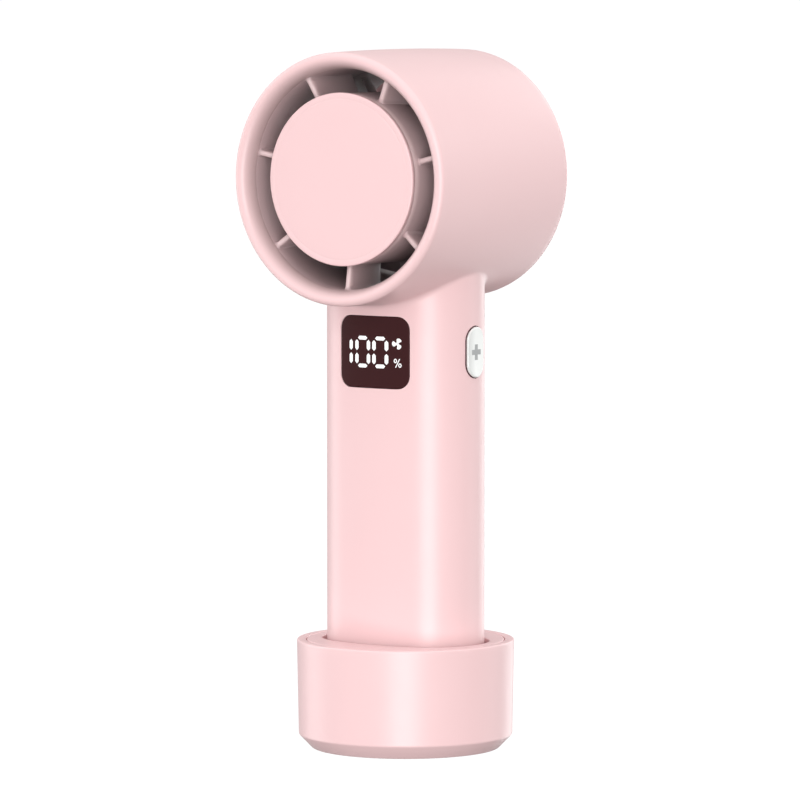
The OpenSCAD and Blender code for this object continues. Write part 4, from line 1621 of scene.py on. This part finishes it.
@dataclass
class DisplayMarks:
    """The lit bars of the number, the fan sign and the per cent sign.

    Attributes:
        middle_z: Height of the window's middle.
        proud: Depth of their faces below the handle's surface.
        thickness: Their thickness.
        bar: Width and length of an upright bar.
        level_bar: Length and width of a level bar.
        rise: Height of the upright bars' middles above the window's middle.
        level_rise: The same for the level bars.
        one: Place of the one across the window.
        zeros: Places of the left and right bars of each zero.
        fan: Middle of the fan sign.
        blades: Number of its blades.
        first_blade: Direction of its first blade in degrees.
        blade: Outline of one blade as (radius, degrees from its middle).
        rings: Middles of the per cent sign's two rings.
        ring_size: Half the rings' width and height.
        stroke: Width of the rings' line.
        slash: Middle of the stroke between them.
        slash_size: Its width and length.
        slash_tilt: How far it leans in degrees.
    """

    oval: Oval
    paints: dict[str, bpy.types.Material]
    middle_z: float = FACE_Z
    proud: float = 0.03
    thickness: float = 0.3
    bar: Flat = (1.1, 2.85)
    level_bar: Flat = (3.1, 1.0)
    rise: float = 1.76
    level_rise: float = 3.66
    one: float = -7.2
    zeros: tuple[Flat, ...] = ((-5.2, -1.35), (0.42, 4.27))
    fan: Flat = (7.45, 2.42)
    blades: int = 3
    first_blade: float = 65.0
    blade: tuple[Flat, ...] = (
        (0.34, -60), (0.67, -34), (1.0, -38), (1.3, -38), (1.47, -28), (1.53, -12), (1.5, 6), (1.38, 22),
        (1.15, 34), (0.75, 38), (0.42, 46),
    )
    rings: tuple[Flat, ...] = ((6.9, -2.08), (8.22, -3.24))
    ring_size: Flat = (0.47, 0.58)
    stroke: float = 0.25
    slash: Flat = (7.56, -2.67)
    slash_size: Flat = (0.25, 2.6)
    slash_tilt: float = 27.0

    def rows(self, outlines: Sequence[tuple[Sequence[Flat], float]]) -> list[list[Point]]:
        """Rows of points from flat outlines, each at a depth below the handle's surface."""
        return [
            [(u, -self.oval.grown(-depth).depth_at(u), self.middle_z + v) for u, v in outline]
            for outline, depth in outlines
        ]

    def plate(self, outline: Sequence[Flat]) -> Workpiece:
        """A thin plate with a flat outline."""
        back = self.proud + self.thickness
        return Workpiece.loft("plate", self.rows([(outline, back), (outline, self.proud)]))

    def ring(self, middle: Flat) -> Workpiece:
        """Shapes one ring of the per cent sign.

        Args:
            middle: Its middle on the window.

        Returns:
            The ring.
        """
        outer, inner = (
            [(middle[0] + (self.ring_size[0] - inset) * x, middle[1] + (self.ring_size[1] - inset) * y)
             for x, y in arc((0, 0), 1, 0, 360, 20)[:-1]] for inset in (0.0, self.stroke)
        )
        back = self.proud + self.thickness
        rows = self.rows([
            (outer, back), (outer, self.proud), (inner, self.proud), (inner, back), (outer, back),
        ])
        return Workpiece.loft("ring", rows, capped=False)

    @staticmethod
    def pointed(middle: Flat, size: Flat) -> list[Flat]:
        """A six-sided bar, pointed at the ends of its longer side.

        Args:
            middle: Its middle.
            size: Its width and height.

        Returns:
            Its outline.
        """
        half_width, half_height = size[0] / 2, size[1] / 2
        tip = min(half_width, half_height)
        if size[1] > size[0]:
            corners = [(0, half_height), (-tip, half_height - tip), (-tip, tip - half_height)]
        else:
            corners = [(half_width, 0), (half_width - tip, tip), (tip - half_width, tip)]
        corners += [(-u, -v) for u, v in corners]
        return [(middle[0] + u, middle[1] + v) for u, v in corners]

    def build(self) -> None:
        """Builds every mark and joins them."""
        uprights = [self.one, *(u for pair in self.zeros for u in pair)]
        outlines = [self.pointed((u, side * self.rise), self.bar) for u in uprights for side in (1, -1)]
        for pair in self.zeros:
            for side in (1, -1):
                outlines.append(self.pointed((sum(pair) / 2, side * self.level_rise), self.level_bar))
        sign = []
        for index in range(self.blades):
            for radius, turn in self.blade:
                angle = math.radians(self.first_blade + 360 / self.blades * index + turn)
                sign.append((
                    self.fan[0] + radius * math.cos(angle), self.fan[1] + radius * math.sin(angle)
                ))
        outlines.append(sign)
        lean = math.radians(self.slash_tilt)
        half_width, half_height = self.slash_size[0] / 2, self.slash_size[1] / 2
        outlines.append([
            (self.slash[0] + u * math.cos(lean) + v * math.sin(lean),
             self.slash[1] + v * math.cos(lean) - u * math.sin(lean))
            for u, v in (
                (half_width, -half_height), (half_width, half_height), (-half_width, half_height),
                (-half_width, -half_height),
            )
        ])
        plates = [self.plate(outline) for outline in outlines]
        marks = plates[0].join(*plates[1:], *[self.ring(middle) for middle in self.rings])
        marks.object.name = marks.object.data.name = "display_bars"
        light = "display_light"
        marks.smooth(30).dressed(self.paints[light], "fan", light, "display_segments")


class Sign(Enum):
    """The mark printed on a key."""

    PLUS = "plus"
    MINUS = "minus"


@dataclass
class SideKey:
    """A rounded key with a dished face in the handle's side, and its printed mark.

    Attributes:
        name: Start of the pieces' names.
        sign: Its printed mark.
        side: 1 on the +X side, -1 on the other.
        proud: How far its rim stands out of the handle.
        edge: Radius of its rounded rim.
        dish: Depth of the hollow in its face.
        arm_length: Length of the print's arms.
        arm_width: Their width.
        print_height: Height of the print's middle layer above the face.
        print_thickness: Its thickness.
        steps: Edges on a side, on a corner and on the top of its outline.
    """

    name: str
    sign: Sign
    side: int
    oval: Oval
    paints: dict[str, bpy.types.Material]
    width: float = 7.4
    height: float = 13.4
    middle_z: float = FACE_Z
    proud: float = 0.69
    edge: float = 0.45
    dish: float = 0.46
    arm_length: float = 4.1
    arm_width: float = 1.35
    print_height: float = 0.012
    print_thickness: float = 0.04
    steps: tuple[int, int, int] = (5, 8, 0)

    def hollow(self, across: float, up: float) -> float:
        """Depth of the dished face.

        Args:
            across: Place across it.
            up: Place up it.

        Returns:
            The depth there.
        """
        from_sides = max(0.0, 1 - (across / (self.width / 2 - self.edge)) ** 2)
        from_ends = max(0.0, 1 - (up / (self.height / 2 - self.edge)) ** 2)
        return self.dish * from_sides * from_ends

    def outline(self, inset: float) -> list[Flat]:
        """The key's outline, drawn in evenly."""
        corner = self.width / 2 - inset - NEARLY
        return rounded_outline(self.width - 2 * inset, self.height - 2 * inset, corner, self.steps)

    def on_face(self, across: float, up: float, lower: float) -> Point:
        """A place on the key's face, sunk by a depth."""
        grown = self.oval.grown(self.proud - lower)
        return (self.side * grown.width_at(across), across, self.middle_z + up)

    def body_rows(self) -> list[list[Point]]:
        """The key's skin.

        Returns:
            Rows of points from the stem, over the flange and the rim, to the middle of the face.
        """

        def flat(x: float, width: float, height: float) -> list[Point]:
            """An upright outline at one distance from the middle of the handle."""
            outline = rounded_outline(width, height, width / 2 - NEARLY, self.steps)
            return [(self.side * x, u, self.middle_z + v) for u, v in outline]

        def face(inset: float, lower: float) -> list[Point]:
            """An outline on the key's curved face."""
            return [self.on_face(u, v, lower) for u, v in self.outline(inset)]

        rows = [flat(18.0, 2.6, 2.61), flat(18.05, 3.0, 3.01), flat(18.3, 3.0, 3.01)]
        rows += [flat(18.3, 8.7, 14.7), flat(18.45, 9.0, 15.0)]
        rows += [flat(18.75, 9.0, 15.0), flat(18.9, 8.7, 14.7)]
        rows += [flat(18.9, self.width, self.height), flat(20.4, self.width, self.height)]
        rows.append(face(0, self.edge))
        rows += [face(inset, drop) for inset, drop in quarter_round(self.edge, 8)]
        rim = self.outline(self.edge)
        for scale in (0.97, 0.93, 0.87, 0.8, 0.7, 0.6, 0.5, 0.4, 0.3, 0.2, 0.1, 0.03):
            places = [(u * scale, v * scale) for u, v in rim]
            rows.append([self.on_face(u, v, self.hollow(u, v)) for u, v in places])
        return rows

    def build(self) -> None:
        """Builds the key and its print."""
        node = f"{self.sign.value}_button"
        body = f"{self.sign.value}_key"
        key = Workpiece.loft(self.name, self.body_rows())
        key.smooth(40).dressed(self.paints["white_gloss"], body, "white_gloss", node)
        half = self.arm_length / 2
        stations = spaced(-half, half, 24)
        rows = [
            [self.on_face(u, v, self.hollow(u, v) - self.print_height) for u in stations]
            for v in stations
        ]
        mark = Workpiece.loft(f"{self.name}_print", rows, around=False, capped=False)
        with mark.editing() as mesh:
            bpy.ops.mesh.select_mode(type="FACE")
            for face in mesh.faces:
                middle = face.calc_center_median() / MM
                across = abs(middle.y) < self.arm_width / 2
                up = abs(middle.z - self.middle_z) < self.arm_width / 2
                if not (up or (across and self.sign is Sign.PLUS)):
                    face.select_set(True)
            bpy.ops.mesh.delete(type="FACE")
        mark.thicken(self.print_thickness, centred=True).smooth(40)
        mark.dressed(self.paints["grey_print"], body, "grey_print", f"{self.sign.value}_mark")


@dataclass
class ChargingPort:
    """The socket in the handle's back."""

    paints: dict[str, bpy.types.Material]
    middle_z: float = PORT_Z
    mouth: float = 14.9
    back: float = 9.2
    width: float = 8.94
    height: float = 3.26
    wall: float = 0.35

    def build(self) -> None:
        """Builds the shell with its rolled mouth, and the tongue."""
        edges = (0, 6, 8)

        def row(inset: float, y: float) -> list[Point]:
            """One outline at a distance behind the handle's axis."""
            outline = rounded_outline(
                self.width - 2 * inset, self.height - 2 * inset, self.height / 2 - inset - NEARLY, edges
            )
            return [(u, y, self.middle_z + v) for u, v in outline]

        rolled = ((0, 0.12), (0.05, 0.03), (0.16, 0), (0.28, 0.03), (self.wall, 0.15))
        rows = [row(0, self.back)] + [row(inset, self.mouth - depth) for inset, depth in rolled]
        rows.append(row(self.wall, self.back + 0.3))
        shell = Workpiece.loft("charging_socket", rows)
        tongue_rows = [
            [(u, y, self.middle_z + v) for u, v in rounded_outline(w, h, 0.2, (1, 3, 6))]
            for y, w, h in (
                (self.back + 0.2, 6.7, 0.7), (13.9, 6.7, 0.7), (14.2, 6.55, 0.55), (14.3, 6.3, 0.42)
            )
        ]
        tongue = Workpiece.loft("socket_tongue", tongue_rows)
        shell.join(tongue.smooth(40))
        shell.smooth(40).dressed(self.paints["nickel"], "fan", "steel", "usb_socket")


@dataclass
class Stand:
    """The weighted round stand: cup and inner disc with the handle's socket."""

    oval: Oval
    paints: dict[str, bpy.types.Material]
    foot_radius: float = 24.9
    low_radius: float = 28.4
    foot_height: float = 3.6
    radius: float = 28.86
    height: float = 28.9
    bore: float = 26.4
    disc_radius: float = 26.2
    floor: float = 2.2
    socket_gap: float = 1.3
    seat: float = 7.0

    def build(self) -> None:
        """Builds the cup and the disc."""
        pink = self.paints["pink_plastic"]
        edge = 0.45
        bore_edge = 0.3
        lip = self.bore + bore_edge
        wall = [
            (self.low_radius + (self.radius - self.low_radius) * s,
             self.foot_height + (self.height - edge - self.foot_height) * s)
            for s in (0.0, 0.02, 0.3, 0.6, 0.95, 1.0)
        ]
        cup = lathe("stand_cup", [
            (0.0, 1.0), (21.6, 1.0), (21.6, 0.0), (23.0, 0.0), (self.foot_radius, 0.0),
            *wall,
            *arc((self.radius - edge, self.height - edge), edge, 0, 90, 6)[1:],
            (lip, self.height), *arc((lip, self.height - bore_edge), bore_edge, 90, 180, 4)[1:],
            (self.bore, 16.0), (self.bore, self.floor), (0.0, self.floor),
        ], steps=160)
        cup.rounded(0.3, 3, 25).dressed(pink, "stand", "pink_plastic", "dock_cup")
        count = 160
        top = self.height
        inner = self.oval.grown(self.socket_gap)
        outer = self.oval.grown(self.socket_gap + 1.5)

        def circle(radius: float, z: float) -> list[Point]:
            """Points on a circle, in step with the oval's own points."""
            return [
                (radius * x / math.hypot(x, y), radius * y / math.hypot(x, y), z)
                for x, y, _ in outer.ring(count, z)
            ]

        def between(share: float, z: float) -> list[Point]:
            """Points part of the way from the oval hole to the rim."""
            rim = circle(self.disc_radius, z)
            return [
                (o[0] + (r[0] - o[0]) * share, o[1] + (r[1] - o[1]) * share, z)
                for o, r in zip(inner.ring(count, z), rim)
            ]


        def drawn_in(oval: Oval, share: float, z: float) -> list[Point]:
            """An oval drawn in about the middle to a share of its size."""
            return [(x * share, y * share, z) for x, y, _ in oval.ring(count, 0)]

        rows = [drawn_in(inner, share, self.seat) for share in (0.02, 0.5, 0.97)]
        rows += [inner.ring(count, z) for z in (self.seat, self.seat + 0.5, 12, 18, 24, top - 0.5)]
        rows += [
            self.oval.grown(self.socket_gap + inset).ring(count, top - drop)
            for inset, drop in quarter_round(0.4, 5)
        ]
        rows += [between(s, top) for s in (0.3, 0.6, 0.85)]
        rim_edge = 0.3
        rows.append(circle(self.disc_radius - rim_edge, top))
        for inset, drop in quarter_round(rim_edge, 5):
            rows.append(circle(self.disc_radius - drop, top - inset))
        plate = 1.8
        under = self.seat - plate
        rows += [circle(self.disc_radius, top - plate), outer.ring(count, top - plate)]
        rows += [outer.ring(count, z) for z in (18.0, under)]
        rows += [drawn_in(outer, share, under) for share in (0.6, 0.02)]
        inside = Workpiece.loft("stand_disc", rows)
        inside.smooth(40).dressed(pink, "stand", "pink_plastic", "dock_insert")


# ---------------------------------------------------------------- the studio


@dataclass(frozen=True)
class Softbox:
    """A rectangular soft light.

    Attributes:
        name: Its name.
        azimuth: Direction from the object, in degrees clockwise from the front seen from above.
        height: Its height above the table in metres.
        distance: Its distance from the object in metres.
        size: Its width and height in metres.
        power: Its power in watts.
    """

    name: str
    azimuth: float
    height: float
    distance: float
    size: Flat
    power: float

    def build(self, target: Vector) -> None:
        """Places the light.

        Args:
            target: The point it faces.
        """
        angle = math.radians(self.azimuth)
        spot = Vector((math.sin(angle) * self.distance, -math.cos(angle) * self.distance, self.height))
        light = bpy.data.lights.new(self.name, "AREA")
        light.shape = "RECTANGLE"
        light.size, light.size_y = self.size
        light.energy = self.power
        thing = bpy.data.objects.new(self.name, light)
        thing.location = spot
        thing.rotation_euler = (target - spot).to_track_quat("-Z", "Y").to_euler()
        bpy.context.scene.collection.objects.link(thing)


@dataclass
class Studio:
    """Pale floor, soft light and the camera."""

    camera_azimuth: float = 34.32
    camera_elevation: float = 4.53
    camera_place: Point = (0.84556, -1.24123, 0.21138)
    lens: float = 255.87
    ambient: Point = (0.30, 0.22, 1.42)
    boxes: list[Softbox] = field(default_factory=lambda: [
        Softbox("front", 33.0, 0.10, 1.6, (0.8, 1.6), 24.5),
        Softbox("left", -30.0, 0.10, 1.4, (0.8, 1.6), 1.8),
        Softbox("far left", -80.0, 0.10, 1.4, (0.8, 1.6), 9.0),
        Softbox("left rim", -120.0, 0.10, 1.4, (0.8, 1.6), 1.5),
        Softbox("right back", 140.0, 0.10, 1.4, (0.8, 1.6), 4.5),
        Softbox("right rim", 180.0, 0.10, 1.4, (0.8, 1.6), 9.0),
    ])

    def build(self) -> None:
        """Builds the floor, the lights, the world and the camera."""
        clear_selection()
        bpy.ops.mesh.primitive_grid_add(x_subdivisions=8, y_subdivisions=8, size=14)
        floor = bpy.context.object
        floor.name = "studio_floor"
        with Workpiece("studio_floor", floor).editing():
            bpy.ops.mesh.select_all(action="SELECT")
            bpy.ops.transform.translate(value=(0, 0, -0.00002))
        floor.data.materials.append(self.floor_paint())
        for ray in ("diffuse", "glossy", "transmission", "shadow"):
            setattr(floor, f"visible_{ray}", False)
        self.surroundings()
        target = Vector((0, 0, 0.1))
        for box in self.boxes:
            box.build(target)
        camera = bpy.data.cameras.new("camera")
        camera.sensor_width = 36.0
        camera.lens = self.lens
        camera.clip_start = 0.05
        thing = bpy.data.objects.new("camera", camera)
        thing.location = self.camera_place
        turn = math.radians(self.camera_azimuth)
        rise = math.radians(self.camera_elevation)
        level = math.cos(rise)
        back_way = Vector((math.sin(turn) * level, -math.cos(turn) * level, math.sin(rise)))
        thing.rotation_euler = (-back_way).to_track_quat("-Z", "Y").to_euler()
        bpy.context.scene.collection.objects.link(thing)
        bpy.context.scene.camera = thing
        view = bpy.context.scene.view_settings
        view.view_transform = "Standard"
        view.look = "None"
        view.exposure = 0.0

    def floor_paint(self) -> bpy.types.Material:
        """Mixes the floor: a dull grey for the light it sends back, and white to the camera.

        Returns:
            The material.
        """
        paint = Paint("pale floor")
        cloud = paint.noise(180.0)
        paint.set(
            Base_Color=paint.blend(cloud, (0.30, 0.30, 0.30), (0.34, 0.34, 0.34)),
            Roughness=cloud * 0.1 + 0.85, Specular_IOR_Level=0.1,
        )
        bright = paint.node("ShaderNodeEmission", sockets={"Color": (1, 1, 1, 1), "Strength": 1.12})
        seen = paint.node("ShaderNodeLightPath", output="Is Camera Ray")
        mixed = paint.node("ShaderNodeMixShader", sockets={
            0: seen * 0.93, 1: Channel(paint, paint.shader.outputs[0]), 2: bright,
        })
        paint.tree.links.new(mixed.socket, paint.tree.nodes["Material Output"].inputs["Surface"])
        return paint.material

    def surroundings(self) -> None:
        """A white backdrop, and a softer light round the object that fades below the horizon."""
        world = bpy.data.worlds.new("studio")
        bpy.context.scene.world = world
        world.use_nodes = True
        nodes = world.node_tree.nodes
        link = world.node_tree.links.new
        backdrop = nodes["Background"]
        backdrop.inputs["Color"].default_value = (1, 1, 1, 1)
        backdrop.inputs["Strength"].default_value = 1.02
        ambient = nodes.new("ShaderNodeBackground")
        way = nodes.new("ShaderNodeTexCoord")
        parts = nodes.new("ShaderNodeSeparateXYZ")
        rise = nodes.new("ShaderNodeMapRange")
        rise.inputs["From Min"].default_value = -1.0
        fade = nodes.new("ShaderNodeValToRGB")
        fade.color_ramp.elements.new(0.5)
        for stop, level in zip(fade.color_ramp.elements, self.ambient):
            stop.color = (level, level, level, 1)
        seen = nodes.new("ShaderNodeLightPath")
        mixed = nodes.new("ShaderNodeMixShader")
        link(way.outputs["Generated"], parts.inputs[0])
        link(parts.outputs["Z"], rise.inputs["Value"])
        link(rise.outputs[0], fade.inputs[0])
        link(fade.outputs[0], ambient.inputs["Color"])
        link(seen.outputs["Is Camera Ray"], mixed.inputs[0])
        link(ambient.outputs[0], mixed.inputs[1])
        link(backdrop.outputs[0], mixed.inputs[2])
        link(mixed.outputs[0], nodes["World Output"].inputs["Surface"])


def main() -> None:
    """Builds the pieces in order, dresses the CAD nodes that stay, and sets up the studio."""
    logging.basicConfig(level=logging.INFO, format="%(name)s: %(message)s")
    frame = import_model()
    paints = {slot: finish.build() for slot, finish in FINISHES.items()}
    slots = {part["node"]: part["material_slot"] for part in frame["record"]["subparts"]}
    for name, node in frame["nodes"].items():
        for index in range(len(node.data.materials)):
            node.data.materials[index] = paints[slots[name]]
    low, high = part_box("dock_cup")
    LOG.info("stand from %.1f to %.1f mm", low.z / MM, high.z / MM)
    oval = HANDLE
    drum = Drum(HEAD_Z, front=31.8, rear=28.4, widest=33.5, bulge=0.5)
    Studio().build()
    Casing(oval, drum, paints).build()
    Outlet(drum.axis_z, paints).build()
    Rotor(drum.axis_z, paints).build()
    Grille(drum, paints).build()
    Display(oval, paints).build()
    DisplayMarks(oval, paints).build()
    SideKey("speed_up_key", Sign.PLUS, 1, oval, paints).build()
    SideKey("speed_down_key", Sign.MINUS, -1, oval, paints).build()
    ChargingPort(paints).build()
    Stand(oval, paints).build()


if __name__ == "__main__":
    main()
